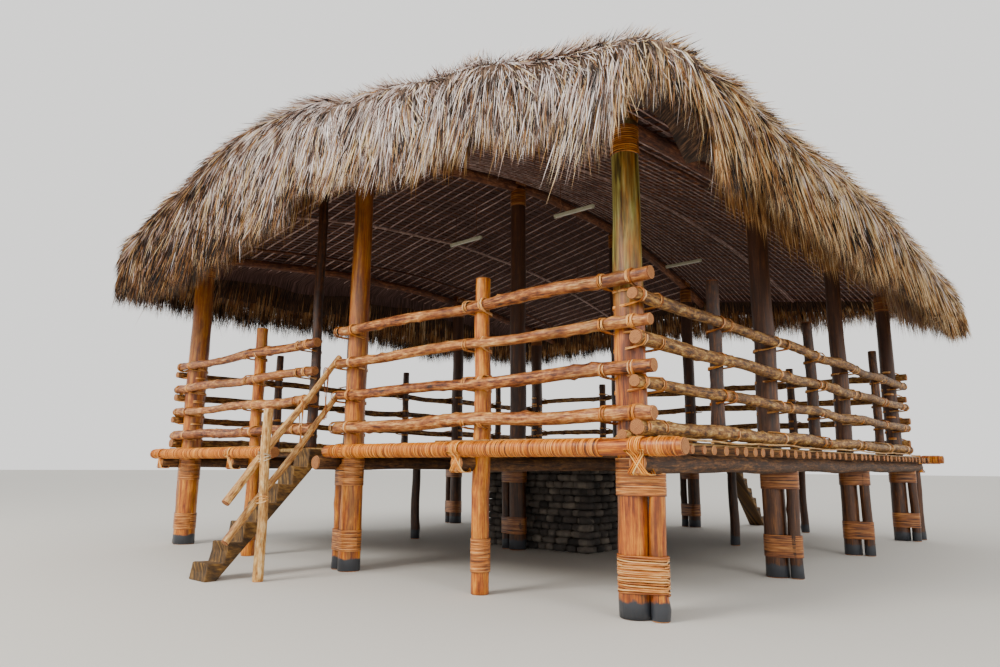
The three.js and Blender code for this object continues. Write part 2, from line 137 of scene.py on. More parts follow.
def startMaterial(name, roughness):
    material = bpy.data.materials.new(name)
    material.use_nodes = True
    tree = material.node_tree
    shader = tree.nodes["Principled BSDF"]
    shader.inputs["Roughness"].default_value = roughness
    return material, tree, shader


def finishMaterial(tree, shader, colour, height, depth, strength):
    tree.links.new(colour, shader.inputs["Base Color"])
    bump = addNode(tree, "Bump", {"Height": height, "Strength": strength, "Distance": depth})
    tree.links.new(bump.outputs["Normal"], shader.inputs["Normal"])


def grainVector(tree):
    return addNode(tree, "UVMap", uv_map="grain").outputs["UV"]


def toneValue(tree):
    return addNode(tree, "Attribute", attribute_name="tone").outputs["Fac"]


def objectVector(tree):
    return addNode(tree, "TexCoord").outputs["Object"]


# Grain of every wood: noises as scale, stretch, detail and roughness; crack as from, to, share, colour
woodGrain = {
    "fibre": (6, 0.62), "fibreShare": 0.7, "fineScale": 4.0, "fine": (5, 0.6), "fineShare": 0.3,
    "blotch": (1.7, (1, 1, 0.6), 4, 0.6), "patchOpen": (0.5, 0.68), "speckle": (7.0, (2.2, 1, 1), 4, 0.65),
    "toneShare": 0.09, "crackScale": 3.0, "crackStretch": (0.9, 0.35), "crackNoise": (3, 0.5),
    "crack": (0.63, 0.69, 0.75, "1c110b"), "crackSink": 0.5, "depth": 0.012,
}

# Woods: ramp from crack to worn ridge, streaks across and along the grain, worn patches
woods = {
    "rafter": {"roughness": 0.65, "streak": (26, 2.0, 1), "patch": "3c2a20", "worn": 0.4,
               "stops": [(0.3, "5c4440"), (0.45, "98766e"), (0.58, "c8aaa2"), (0.72, "f0dcd6")]},
    "bark": {"roughness": 0.42, "streak": (18, 1.8, 1), "patch": "4a220c", "worn": 0.6,
             "bump": 0.9, "stops": [(0.3, "22100a"), (0.4, "683214"), (0.49, "9c5a26"), (0.58, "c28444"),
              (0.71, "e8bc7c")]},
    "oiled": {"roughness": 0.4, "streak": (16, 1.0, 1), "patch": "5c2a0c", "worn": 0.6,
              "spots": 0.3, "stops": [(0.28, "2a1002"), (0.4, "743006"), (0.5, "ac560a"), (0.6, "d28014"),
              (0.74, "eaa640")]},
    "shaded": {"roughness": 0.45, "streak": (26, 1.4, 1), "patch": "1f1511", "worn": 0.4,
               "stops": [(0.28, "120804"), (0.42, "2e1608"), (0.52, "48260c"), (0.62, "6a3e16"),
              (0.76, "9c662c")]},
    "beam": {"roughness": 0.65, "streak": (24, 2.0, 1), "patch": "3a2416", "worn": 0.5,
             "bump": 0.8, "stops": [(0.3, "1c0f08"), (0.43, "402612"), (0.54, "684320"), (0.68, "996c3a")]},
    # painted shade: a duller, darker bark for the railings at the sides and back
    "dullShadedBark": {"roughness": 0.58, "streak": (22, 3.2, 1), "patch": "2c2017",
                 "worn": 0.55, "bump": 0.8, "spots": 0.72,
                 "stops": [(0.3, "1e1208"), (0.4, "583412"), (0.49, "8a5a24"), (0.58, "b08442"),
              (0.7, "dab472")]},
    "deck": {"roughness": 0.55, "streak": (30, 1.5, 1), "patch": "6a4a28", "worn": 0.4,
             "stops": [(0.3, "6b4a26"), (0.44, "94703c"), (0.56, "b48f54"), (0.7, "d0b078")]},
    "roof": {"roughness": 0.7, "streak": (24, 2.0, 1), "patch": "2c1a14", "worn": 0.5,
             "stops": [(0.3, "2a140c"), (0.45, "582e1c"), (0.58, "85502f"), (0.72, "b07c56")]},
    "peeled": {"roughness": 0.55, "streak": (26, 2.4, 1), "patch": "9a6c3a", "worn": 0.5,
               "stops": [(0.3, "4a2608"), (0.4, "865222"), (0.49, "b27e3c"), (0.58, "d0a464"),
              (0.7, "e8cc98")]},
    "stair": {"roughness": 0.8, "streak": (20, 1.8, 1), "patch": "3c3022", "worn": 0.55,
              "stops": [(0.3, "160f07"), (0.43, "3e2a10"), (0.55, "68481c"), (0.7, "a07a3a")]},
}


def woodNodes(name, stops, roughness, streak, patch, worn, bump=0.6, spots=0.5):
    material, tree, shader = startMaterial(name, roughness)
    grain = grainVector(tree)
    fibres = addNoise(tree, grain, 1.0, streak, *woodGrain["fibre"])
    fine = addNoise(tree, grain, woodGrain["fineScale"], streak, *woodGrain["fine"])
    blotch = addNoise(tree, objectVector(tree), *woodGrain["blotch"])
    speckle = addNoise(tree, grain, *woodGrain["speckle"])
    across, along = woodGrain["crackStretch"]
    cracks = addNoise(tree, grain, woodGrain["crackScale"], (streak[0] * across, streak[1] * along, 1),
                      *woodGrain["crackNoise"])
    shade = addMath(tree, "ADD", addShare(tree, fibres, woodGrain["fibreShare"]),
                    addShare(tree, fine, woodGrain["fineShare"]))
    shade = addMath(tree, "ADD", shade, addSwing(tree, toneValue(tree), woodGrain["toneShare"]))
    shade = addMath(tree, "ADD", shade, addSwing(tree, speckle, spots))
    colour = addOverlay(tree, addRamp(tree, shade, stops), blotch, *woodGrain["patchOpen"], worn, patch)
    low, high, share, code = woodGrain["crack"]
    split = addRange(tree, cracks, low, high, (0, share))
    colour = addMix(tree, split, colour, tint(code))
    height = addMath(tree, "SUBTRACT", shade, addShare(tree, split, woodGrain["crackSink"]))
    finishMaterial(tree, shader, colour, height, woodGrain["depth"], bump)
    return material, tree, shader, colour


# Column skins: stained all over, charred at the foot, darkened under the roof as painted shade, or else peeled
# and green there
columnSkin = {
    "grain": {"streak": (16, 0.8, 1), "worn": 0.4, "bump": 0.45, "spots": 0.2},
    "coatRoughness": 0.25, "raggedScale": 9.0, "ragged": 0.12, "charred": (0.27, 0.24, 1, "31343a"),
    "stainNoise": (5.5, (1, 1, 0.2), 4, 0.62), "stain": (0.5, 0.62, 0.6, "4c260c"),
    "shadeUnderRoof": (2.6, 5.2, 0.5, "4a2c1e"), "peeledFrom": (3.3, 4.1),
    "pale": [(0.36, "2c200c"), (0.45, "6e5a22"), (0.53, "8e823e"), (0.66, "b2b072")],
    "paleNoise": (1.0, (16, 0.9, 1), 5, 0.6), "stripNoise": (4.0, (1, 1, 0.22), 3, 0.5),
    "strip": (0.32, 0.42, (0.5, 1)), "gapNoise": (14.0, (1, 1, 0.12), 3, 0.6), "gap": (0.56, 0.64, (0, 0.8)),
    "gapColour": "2c2012",
}


def columnMaterial(name, stops, patch, peeled=False, roughness=0.36, coat=0.14):
    material, tree, shader, colour = woodNodes(name, stops, roughness, patch=patch, **columnSkin["grain"])
    shader.inputs["Coat Weight"].default_value = coat
    shader.inputs["Coat Roughness"].default_value = columnSkin["coatRoughness"]
    place = objectVector(tree)
    height = addNode(tree, "SeparateXYZ", {"Vector": place}).outputs["Z"]
    ragged = addNoise(tree, place, columnSkin["raggedScale"])
    level = addMath(tree, "ADD", height, addShare(tree, ragged, columnSkin["ragged"]))
    stain = addNoise(tree, place, *columnSkin["stainNoise"])
    colour = addOverlay(tree, colour, stain, *columnSkin["stain"])
    if peeled:
        pale = addRamp(tree, addNoise(tree, grainVector(tree), *columnSkin["paleNoise"]), columnSkin["pale"])
        strips = addRange(tree, addNoise(tree, place, *columnSkin["stripNoise"]), *columnSkin["strip"])
        share = addMath(tree, "MULTIPLY", addRange(tree, level, *columnSkin["peeledFrom"]), strips)
        gaps = addRange(tree, addNoise(tree, place, *columnSkin["gapNoise"]), *columnSkin["gap"])
        colour = addMix(tree, share, colour, pale)
        colour = addMix(tree, addMath(tree, "MULTIPLY", gaps, share), colour, tint(columnSkin["gapColour"]))
    else:
        # painted shade: darker from 2.6 m up, where the roof shades the column
        colour = addOverlay(tree, colour, level, *columnSkin["shadeUnderRoof"])
    colour = addOverlay(tree, colour, level, *columnSkin["charred"])
    tree.links.new(colour, shader.inputs["Base Color"])
    return material


# Sawn ends: growth rings, and cracks through them
cutEnds = {"roughness": 0.75, "rings": {"Scale": 26.0, "Distortion": 2.2, "Detail": 3.0},
           "stops": [(0.1, "6c3614"), (0.5, "a06030"), (0.9, "c48a50")],
           "crackNoise": (14.0, (1, 1, 1), 5, 0.65), "crack": (0.56, 0.68, 0.7, "6a4128")}


def cutEndMaterial():
    material, tree, shader = startMaterial("cutEnds", cutEnds["roughness"])
    grain = grainVector(tree)
    rings = addNode(tree, "TexWave", {"Vector": grain, **cutEnds["rings"]},
                    wave_type="RINGS", rings_direction="SPHERICAL").outputs["Fac"]
    cracks = addNoise(tree, grain, *cutEnds["crackNoise"])
    colour = addOverlay(tree, addRamp(tree, rings, cutEnds["stops"]), cracks, *cutEnds["crack"])
    finishMaterial(tree, shader, colour, rings, 0.002, 0.5)
    return material


# Canes: ramps from the dark nodes to the palest skin; one darker copy is the cane with painted shade, for the
# bands behind the front row
caneGrain = {"patches": (3.0, (16, 1.0, 1), 4, 0.6), "toneShare": 0.35, "fibres": (40.0, (7, 0.4, 1), 3, 0.5),
             "depth": 0.0015, "bump": 0.5}
canes = {
    "paleTie": {"roughness": 0.6,
                "stops": [(0.2, "5c4a34"), (0.4, "9c8668"), (0.56, "c4b090"), (0.75, "e2d4ba")]},
    "cane": {"stops": [(0.18, "3a1c08"), (0.36, "a85c1a"), (0.5, "d88a34"),
              (0.62, "eeae62"), (0.76, "fbdaa8")]},
    # painted shade: the same cane, darker, for the bands behind the front row
    "caneShaded": {"stops": [(0.18, "26130a"), (0.36, "7c441c"), (0.5, "a8672c"), (0.7, "cf9555")]},
    "canePale": {"stops": [(0.3, "7c3e14"), (0.44, "b4692a"), (0.56, "cf8e48"), (0.7, "e4b476")]},
    "caneGold": {"stops": [(0.16, "3c1a06"), (0.32, "b05808"), (0.44, "e08014"),
              (0.58, "faa83c"), (0.74, "ffd488")]},
}


def caneMaterial(name, stops, roughness=0.38):
    material, tree, shader = startMaterial(name, roughness)
    grain = grainVector(tree)
    patches = addNoise(tree, grain, *caneGrain["patches"])
    # the tone holds each turn's own tone and the painted shade of the valleys between turns
    shade = addMath(tree, "ADD", patches, addSwing(tree, toneValue(tree), caneGrain["toneShare"]))
    fibres = addNoise(tree, grain, *caneGrain["fibres"])
    finishMaterial(tree, shader, addRamp(tree, shade, stops), fibres, caneGrain["depth"], caneGrain["bump"])
    return material


stoneLook = {"roughness": 0.85, "grit": (22.0, (1, 1, 1), 6, 0.65), "patchScale": 5.0,
             "patchShare": 0.6, "toneShare": 0.35,
             "stops": [(0.25, "2c2927"), (0.42, "4a4440"), (0.58, "6a625a"), (0.76, "8b8174")]}


def stoneMaterial():
    material, tree, shader = startMaterial("hearthStone", stoneLook["roughness"])
    place = objectVector(tree)
    grit = addNoise(tree, place, *stoneLook["grit"])
    patch = addNoise(tree, place, stoneLook["patchScale"])
    shade = addMath(tree, "ADD", addShare(tree, patch, stoneLook["patchShare"]),
                    addShare(tree, toneValue(tree), stoneLook["toneShare"]))
    finishMaterial(tree, shader, addRamp(tree, shade, stoneLook["stops"]), grit, 0.012, 0.7)
    return material


# Straw: a strand's tone has goldStep added when it is golden, and is bleached otherwise
strawLook = {
    "goldStep": 2.0, "goldFrom": 1.5, "spot": (4.5, (1, 1, 0.6), 3, 0.6), "spotShare": 1.4,
    "bleached": [(0.05, "160c0a"), (0.25, "483028"), (0.45, "8c6a5a"), (0.65, "cdb4aa"), (0.88, "fff6f2")],
    "golden": [(0.05, "160c05"), (0.25, "4e2e12"), (0.45, "946232"), (0.65, "c8995c"), (0.88, "f4dcb0")],
    # root: painted shade, darker towards each strand's root, where it lies under the others
    "root": (0.5, 0.05, 0.85, "24170f"),
}


def strawMaterial():
    material, tree, shader = startMaterial("strawStrands", 0.6)
    along = addNode(tree, "SeparateXYZ", {"Vector": grainVector(tree)}).outputs["Y"]
    spot = addNoise(tree, objectVector(tree), *strawLook["spot"])
    isGold = addMath(tree, "GREATER_THAN", toneValue(tree), strawLook["goldFrom"])
    tone = addMath(tree, "SUBTRACT", toneValue(tree), addShare(tree, isGold, strawLook["goldStep"]))
    shade = addMath(tree, "ADD", tone, addSwing(tree, spot, strawLook["spotShare"]))
    colour = addMix(tree, isGold, addRamp(tree, shade, strawLook["bleached"]),
                    addRamp(tree, shade, strawLook["golden"]))
    # painted shade towards the strand's root
    colour = addOverlay(tree, colour, along, *strawLook["root"])
    finishMaterial(tree, shader, colour, spot, 0.002, 0.2)
    return material


# Straw of the core: its skin between the strands, dark brown as painted shade in the gaps between tufts; the wall
# behind the fringe, darker still as painted shade; the underside
strawSkins = {
    "strawCore": {"stretch": (64, 3, 1),
                  "stops": [(0.38, "1a100b"), (0.47, "3c291d"), (0.54, "75583f"), (0.64, "b39a84")]},
    # painted shade: the wall behind the fringe is darker than the core's skin
    "shadedStrawWall": {"stretch": (64, 3, 1),
                  "stops": [(0.38, "120a06"), (0.47, "2a1a11"), (0.54, "4c3423"), (0.64, "7a5a42")]},
    "strawUnder": {"stretch": (34, 1.4, 1),
                   "stops": [(0.35, "2a1c1b"), (0.5, "523b39"), (0.65, "84655f")]},
}


def strawSkinMaterial(name, stops, stretch):
    material, tree, shader = startMaterial(name, 0.85)
    fibres = addNoise(tree, grainVector(tree), 1.0, stretch, 6, 0.65)
    finishMaterial(tree, shader, addRamp(tree, fibres, stops), fibres, 0.02, 0.8)
    return material


def lampMaterial(name, code, roughness, share):
    material, tree, shader = startMaterial(name, roughness)
    grime = addNoise(tree, objectVector(tree), 14.0)
    colour = addOverlay(tree, tint(code), grime, 0.5, 0.75, share, "6d6a58")
    finishMaterial(tree, shader, colour, grime, 0.001, 0.2)
    return material


materialNames = {
    "rafter": "rafterPoles", "bark": "barkLogs", "oiled": "oiledLogs", "shaded": "shadedLogs", "beam": "beamLogs",
    "dullShadedBark": "shadedBarkLogs", "deck": "caneDeck", "roof": "roofLogs", "peeled": "peeledPoles",
    "stair": "stairLog", "cane": "caneLashing", "caneShaded": "shadedCane", "canePale": "paleCane",
    "caneGold": "goldenCane", "strawUnder": "strawUnderside",
}
wood = {key: woodNodes(materialNames.get(key, key), **look)[0] for key, look in woods.items()}
wood.update({key: caneMaterial(materialNames.get(key, key), **look) for key, look in canes.items()})
wood.update({key: strawSkinMaterial(materialNames.get(key, key), **look) for key, look in strawSkins.items()})
wood.update({
    "column": columnMaterial("columnLogs", woods["oiled"]["stops"], "5a2408"),
    "columnShaded": columnMaterial("shadedColumns", woods["shaded"]["stops"], "1f1511", False, 0.5, 0.08),
    "columnPeeled": columnMaterial("peeledColumn", woods["oiled"]["stops"], "55260e", True),
    "cut": cutEndMaterial(), "straw": strawMaterial(), "stone": stoneMaterial(),
    "lampShell": lampMaterial("lampShell", "c9c8ae", 0.5, 0.4),
    "lampTube": lampMaterial("lampTube", "e9e9dc", 0.3, 0.15),
})
print("materials ready")


# Mesh blanks, modelled with the usual tools and read once as arrays
def setMode(mode):
    bpy.ops.object.mode_set(mode=mode)


def clearSelection():
    if bpy.context.object and bpy.context.object.mode != "OBJECT":
        setMode("OBJECT")
    bpy.ops.object.select_all(action="DESELECT")


# Opens a piece in edit mode with all of it selected
def editAll(piece):
    clearSelection()
    bpy.context.view_layer.objects.active = piece
    piece.select_set(True)
    setMode("EDIT")
    bpy.ops.mesh.select_all(action="SELECT")


def pickFaces(blank, test):
    setMode("OBJECT")
    for edge in blank.data.edges:
        edge.select = False
    for vertex in blank.data.vertices:
        vertex.select = False
    for face in blank.data.polygons:
        face.select = test(face)
    setMode("EDIT")
    bpy.ops.mesh.select_mode(type="FACE")


def pickEdges(blank, test):
    pickFaces(blank, lambda face: False)
    bpy.ops.mesh.select_mode(type="EDGE")
    setMode("OBJECT")
    points = blank.data.vertices
    for edge in blank.data.edges:
        edge.select = test(points[edge.vertices[0]].co, points[edge.vertices[1]].co)
    setMode("EDIT")


def readBlank(blank):
    setMode("OBJECT")
    mesh = blank.data
    verts, normals = np.zeros(len(mesh.vertices) * 3), np.zeros(len(mesh.polygons) * 3)
    loops, totals = np.zeros(len(mesh.loops), int), np.zeros(len(mesh.polygons), int)
    mesh.vertices.foreach_get("co", verts)
    mesh.loops.foreach_get("vertex_index", loops)
    mesh.polygons.foreach_get("loop_total", totals)
    mesh.polygons.foreach_get("normal", normals)
    bpy.data.objects.remove(blank)
    return {"verts": verts.reshape(-1, 3), "loops": loops, "totals": totals, "normals": normals.reshape(-1, 3)}


# One part of a piece; tone, slot and smooth are one value for all of it, or one for each corner or face
def makePart(verts, loops, totals, uv, tone, slot=0, smooth=True):
    return {"verts": verts, "loops": loops, "totals": totals, "uv": uv, "tone": np.zeros(len(verts)) + tone,
            "material": np.zeros(len(totals), int) + slot, "smooth": np.zeros(len(totals), bool) | smooth}


# A part made of a blank's faces, moved to new places
def blankPart(blank, verts, uv, tone, smooth=False):
    return makePart(verts, blank["loops"], blank["totals"], uv, tone, 0, smooth)


# Distance along a line at each of its points
def runAlong(line):
    return np.concatenate([[0], np.cumsum(np.linalg.norm(np.diff(line, axis=0), axis=1))])


# What every log shares: cap rings, slow bends, waves of the skin (share, turns round, per metre), knots
logShape = {
    "capRings": (0.07, 0.45), "bends": (2.6, 2.1),
    "waves": [(1.0, 2, 1.9), (0.6, 3, -3.7), (0.5, 1, 5.0), (0.35, 7, 11.0)],
    "knotSpan": (0.03, 0.97), "knotReach": (0.035, 0.07), "knotRise": (0.4, 1.0),
    "chamfer": 0.012, "grainShift": 40, "cutSlot": 1,
}
logBlanks = {}


def modelLogBlank(sides, rings):
    clearSelection()
    bpy.ops.mesh.primitive_cylinder_add(vertices=sides, radius=1, depth=1, location=(0, 0, 0.5))
    blank = bpy.context.object
    bpy.ops.object.transform_apply(location=True)
    pickFaces(blank, lambda face: abs(face.normal.z) > 0.9)
    for thickness in logShape["capRings"]:
        bpy.ops.mesh.inset(thickness=thickness)
    pickEdges(blank, lambda a, b: abs(a.z - b.z) > 0.5)
    bpy.ops.mesh.subdivide(number_cuts=rings)
    shape = readBlank(blank)
    shape["across"] = np.hypot(shape["verts"][:, 0], shape["verts"][:, 1])
    shape["angle"] = np.arctan2(shape["verts"][:, 1], shape["verts"][:, 0])
    shape["isCap"] = np.abs(shape["normals"][:, 2]) > 0.5
    starts = np.concatenate([[0], np.cumsum(shape["totals"])[:-1]])
    base = shape["angle"][np.repeat(shape["loops"][starts], shape["totals"])]
    turned = (shape["angle"][shape["loops"]] - base + math.pi) % (2 * math.pi) - math.pi
    shape["loopAngle"] = base + turned  # runs on over the seam within one face
    return shape


def logBlank(sides, rings):
    if (sides, rings) not in logBlanks:
        logBlanks[(sides, rings)] = modelLogBlank(sides, rings)
    return logBlanks[(sides, rings)]


def axesAlong(direction):
    along = direction / np.linalg.norm(direction)
    helper = np.array([0.0, 0.0, 1.0]) if abs(along[2]) < 0.9 else np.array([1.0, 0.0, 0.0])
    side = np.cross(helper, along)
    side /= np.linalg.norm(side)
    return side, np.cross(along, side), along


# One log along a line of points: tapered, slightly bowed, with knots and a rough skin
# The style of a log is its ring spacing, sides, bow, roughness, knots and size of knots, in this order
def logPart(points, radii, spacing=0.14, sides=16, bow=0.012, rough=0.025, knots=0, knotSize=0.3):
    line = np.array(points, float)
    lengths = runAlong(line)
    length = lengths[-1]
    shape = logBlank(sides, max(2, int(round(length / spacing))))
    axes = axesAlong(line[-1] - line[0])
    angle, share, loops = shape["angle"], shape["verts"][:, 2], shape["loops"]
    centre = np.stack([np.interp(share * length, lengths, line[:, axis]) for axis in range(3)], axis=1)
    phases = dice.uniform(0, 2 * math.pi, 8)
    wander = bow * np.sin(math.pi * share)
    for bend, axis, phase in zip(logShape["bends"], axes, phases):
        centre += np.outer(wander * np.sin(bend * share * length + phase), axis)
    base = np.interp(share, np.linspace(0, 1, len(radii)), radii)
    skin = np.ones(len(angle))
    for (height, around, ahead), phase in zip(logShape["waves"], phases[2:]):
        skin += height * rough * np.sin(around * angle + ahead * share * length + phase)
    for _ in range(knots):
        spot = dice.uniform(*logShape["knotSpan"])
        turn = dice.uniform(0, 2 * math.pi)
        reach = dice.uniform(*logShape["knotReach"])
        around = (angle - turn + math.pi) % (2 * math.pi) - math.pi
        distance = ((share - spot) * length / reach) ** 2 + (around * base / reach) ** 2
        skin += dice.uniform(*logShape["knotRise"]) * knotSize * np.exp(-distance)
    isSkin = shape["across"] > 0.99
    radius = base * shape["across"] * np.where(isSkin, skin, 1.0)
    verts = centre + np.outer(radius * np.cos(angle), axes[0]) + np.outer(radius * np.sin(angle), axes[1])
    chamfer = np.where(share < 0.5, logShape["chamfer"], -logShape["chamfer"])
    isRim = isSkin & ((share < 0.001) | (share > 0.999))
    verts += np.outer(np.where(isRim, chamfer, 0.0), axes[2])
    meanRadius = float(np.mean(radii))
    offset = dice.uniform(0, logShape["grainShift"], 2)
    sideUv = np.stack([shape["loopAngle"] * meanRadius + offset[0], share[loops] * length + offset[1]], axis=1)
    capUv = shape["verts"][loops][:, :2] * meanRadius
    onCap = np.repeat(shape["isCap"], shape["totals"])
    return makePart(verts, loops, shape["totals"], np.where(onCap[:, None], capUv, sideUv), dice.uniform(0, 1),
                    np.where(shape["isCap"], logShape["cutSlot"], 0), ~shape["isCap"])


# Paints a log's skin, and leaves its cut ends
def paintSkin(part, slot):
    cut = logShape["cutSlot"]
    part["material"] = np.where(part["material"] == cut, cut, slot)


def paintAll(part, slot):
    part["material"][:] = slot


# Corners of each face's UV, from the low and high value on both of its sides
def quadUv(left, right, low, high):
    return np.stack([np.stack([left, low], 1), np.stack([right, low], 1),
                     np.stack([right, high], 1), np.stack([left, high], 1)], 1).reshape(-1, 2)


# A closed ring of flat cane through the points
def loopPart(points, width, thick, slot=0):
    line = np.array(points, float)
    count = len(line)
    ahead = np.roll(line, -1, axis=0) - np.roll(line, 1, axis=0)
    ahead /= np.linalg.norm(ahead, axis=1)[:, None]
    outward = line - line.mean(axis=0)
    outward -= ahead * np.sum(outward * ahead, axis=1)[:, None]
    outward /= np.linalg.norm(outward, axis=1)[:, None] + 1e-9
    across = np.cross(ahead, outward)
    corners = [(-1, 0), (0, 1), (1, 0)]
    verts = np.concatenate([line + across * (a * width / 2) + outward * (b * thick) for a, b in corners])
    step = np.arange(count)
    after = (step + 1) % count
    faces = []
    for edge in range(3):
        here, there = edge * count, ((edge + 1) % 3) * count
        faces.append(np.stack([step + here, step + there, after + there, after + here], axis=1))
    faces = np.concatenate(faces)
    run = runAlong(line)
    stop = run[-1] + np.linalg.norm(line[0] - line[-1])
    grain = 0.3 * width
    level = np.repeat([0.0, grain, 2 * grain], count)
    offset = dice.uniform(0, 20)
    uv = quadUv(level, level + grain, np.tile(run, 3) + offset, np.tile(np.append(run[1:], stop), 3) + offset)
    return makePart(verts, faces.ravel(), np.full(len(faces), 4), uv, dice.uniform(0, 1), slot)


# Between two turns the cane sinks to the valley, where its tone is painted shade; slot 1 has a lighter painted
# shade in its grooves
sleeveShape = {"valley": 0.001, "loose": (-0.002, 0.003), "grooveShade": -0.35, "paleGrooveShade": -0.1,
               "calmEnds": 4, "grainShift": 30}


# A sleeve of close turns of cane round an outline, from start along the given axes
# A wrap is its pitch, how far it stands proud and its tilt, in this order
def sleevePart(start, axes, outline, length, pitch, proud, tilt, slot=0):
    outline = np.array(outline, float)
    count = len(outline)
    tangent = np.roll(outline, -1, axis=0) - np.roll(outline, 1, axis=0)
    outward = np.stack([tangent[:, 1], -tangent[:, 0]], axis=1)
    outward /= np.linalg.norm(outward, axis=1)[:, None]
    turns = max(2, int(round(length / pitch)))
    rows = 2 * turns + 1
    row = np.arange(rows)
    isTurn = row % 2 == 1
    heights = row / (rows - 1) * length
    rise = np.where(isTurn, proud, sleeveShape["valley"])
    grooveShadeTone = sleeveShape["paleGrooveShade"] if slot == 1 else sleeveShape["grooveShade"]
    # painted shade: the valleys between turns take a dark tone
    turnTone = np.where(isTurn, np.repeat(dice.uniform(0, 1, turns + 1), 2)[:rows], grooveShadeTone)
    rise = rise + np.where(isTurn, dice.uniform(*sleeveShape["loose"], rows), 0)
    phase = dice.uniform(0, phaseTurn)
    calm = np.minimum(1, np.minimum(heights, length - heights) / (sleeveShape["calmEnds"] * pitch) + 0.1)
    angle = np.arange(count) * 2 * math.pi / count
    slant = tilt * np.sin(angle[None, :] + phase) * calm[:, None]
    radial = outline[None, :, :] + outward[None, :, :] * rise[:, None, None]
    verts = (np.array(start, float) + radial[:, :, :1] * axes[0] + radial[:, :, 1:] * axes[1]
             + (heights[:, None] + slant)[:, :, None] * axes[2]).reshape(-1, 3)
    grid = row[:-1, None] * count + np.arange(count)[None, :]
    after = row[:-1, None] * count + (np.arange(count)[None, :] + 1) % count
    faces = np.stack([grid, after, after + count, grid + count], axis=2).reshape(-1, 4)
    arc = runAlong(outline)
    stop = np.append(arc[1:], arc[-1] + np.linalg.norm(outline[0] - outline[-1]))
    here, there = (np.broadcast_to(side[None, :], (rows - 1, count)).ravel() for side in (arc, stop))
    low, high = np.repeat(heights[:-1], count), np.repeat(heights[1:], count)
    uv = quadUv(here, there, low, high)[:, ::-1]
    bottom = np.arange(count)[::-1]
    top = np.arange(count) + (rows - 1) * count
    totals = np.concatenate([np.full(len(faces), 4), [count, count]])
    uv = np.concatenate([uv, np.zeros((2 * count, 2))]) + dice.uniform(0, sleeveShape["grainShift"])
    loops = np.concatenate([faces.ravel(), bottom, top])
    return makePart(verts, loops, totals, uv, np.repeat(turnTone, count), slot)


def circleOutline(radius, count=22):
    angle = np.arange(count) * 2 * math.pi / count
    return np.stack([radius * np.cos(angle), radius * np.sin(angle)], axis=1)


# The tight outline round two logs that stand side by side
def pairOutline(radiusA, radiusB, shift, count=30):
    direction = circleOutline(1, count)
    reachA = np.full(count, radiusA)
    reachB = direction @ np.array(shift) + radiusB
    isA = reachA >= reachB
    centre = np.where(isA[:, None], np.zeros(2), np.array(shift))
    outline = centre + direction * np.where(isA, radiusA, radiusB)[:, None]
    spare = np.maximum(reachA, reachB) - np.sum(outline * direction, axis=1)
    return outline + direction * spare[:, None]


# Joins parts to one mesh, its skins being names in wood, and takes the place of the solids' nodes
def buildPiece(name, parts, skins, nodes=()):
    def joined(key):
        return np.concatenate([part[key] for part in parts])

    shifts = np.concatenate([[0], np.cumsum([len(part["verts"]) for part in parts])])
    loops = np.concatenate([part["loops"] + shift for part, shift in zip(parts, shifts)])
    verts, totals = joined("verts"), joined("totals")
    starts = np.concatenate([[0], np.cumsum(totals)[:-1]])
    mesh = bpy.data.meshes.new(name)
    mesh.vertices.add(len(verts))
    mesh.vertices.foreach_set("co", verts.astype(np.float32).ravel())
    mesh.loops.add(len(loops))
    mesh.loops.foreach_set("vertex_index", loops.astype(np.int32))
    mesh.polygons.add(len(totals))
    mesh.polygons.foreach_set("loop_start", starts.astype(np.int32))
    mesh.polygons.foreach_set("material_index", joined("material").astype(np.int32))
    mesh.polygons.foreach_set("use_smooth", joined("smooth"))
    mesh.update(calc_edges=True)
    layer = mesh.uv_layers.new(name="grain")
    layer.data.foreach_set("uv", joined("uv").astype(np.float32).ravel())
    tone = mesh.attributes.new("tone", "FLOAT", "POINT")
    tone.data.foreach_set("value", joined("tone").astype(np.float32))
    for skin in skins:
        mesh.materials.append(wood[skin])
    mesh.validate()
    piece = bpy.data.objects.new(name, mesh)
    bpy.context.scene.collection.objects.link(piece)
    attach(piece, "root")
    if nodes:
        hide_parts(*nodes)
    return piece


def nodeBox(name):
    low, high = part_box(name)
    return np.array(low), np.array(high)


def nodeAxis(name):
    low, high = nodeBox(name)
    return (low[0] + high[0]) / 2, (low[1] + high[1]) / 2


upright = [np.array([1.0, 0, 0]), np.array([0, 1.0, 0]), np.array([0, 0, 1.0])]
alongX = [np.array([0, 1.0, 0]), np.array([0, 0, 1.0]), np.array([1.0, 0, 0])]
alongY = [np.array([0, 0, 1.0]), np.array([1.0, 0, 0]), np.array([0, 1.0, 0])]
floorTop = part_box("floor_deck_and_joists")[1].z

# Columns: radii at foot and head in each row, and how far beside each its short support log stands
columns = {
    "lines": ("right", "middle", "left"), "rows": ["front", "second", "third", "back"],
    "radii": {"right": [[0.19, 0.165], [0.172, 0.155], [0.155, 0.14], [0.17, 0.155]],
              "middle": [[0.17, 0.15], [0.17, 0.155], [0.165, 0.15], [0.165, 0.15]],
              "left": [[0.205, 0.195], [0.175, 0.16], [0.17, 0.155], [0.19, 0.175]]},
    "support": {"right": 0.29, "middle": -0.29, "left": -0.29}, "supportRadius": 0.098,
    "log": (0.16, 20, 0.008, 0.02, 5, 0.1),
    "frontTone": 1.2,  # brighter than a drawn tone, on the timber that the photograph shows lit
}
stairPost = {"radii": [0.09, 0.077],
             "log": (0.12, 16, 0.02, 0.04, 8, 0.25)}


def columnNode(line, row):
    return f"column_{line}_{columns['rows'][row]}"


def columnRadius(line, row, height):
    foot, head = columns["radii"][line][row]
    return foot + (head - foot) * height / nodeBox(columnNode(line, row))[1][2]


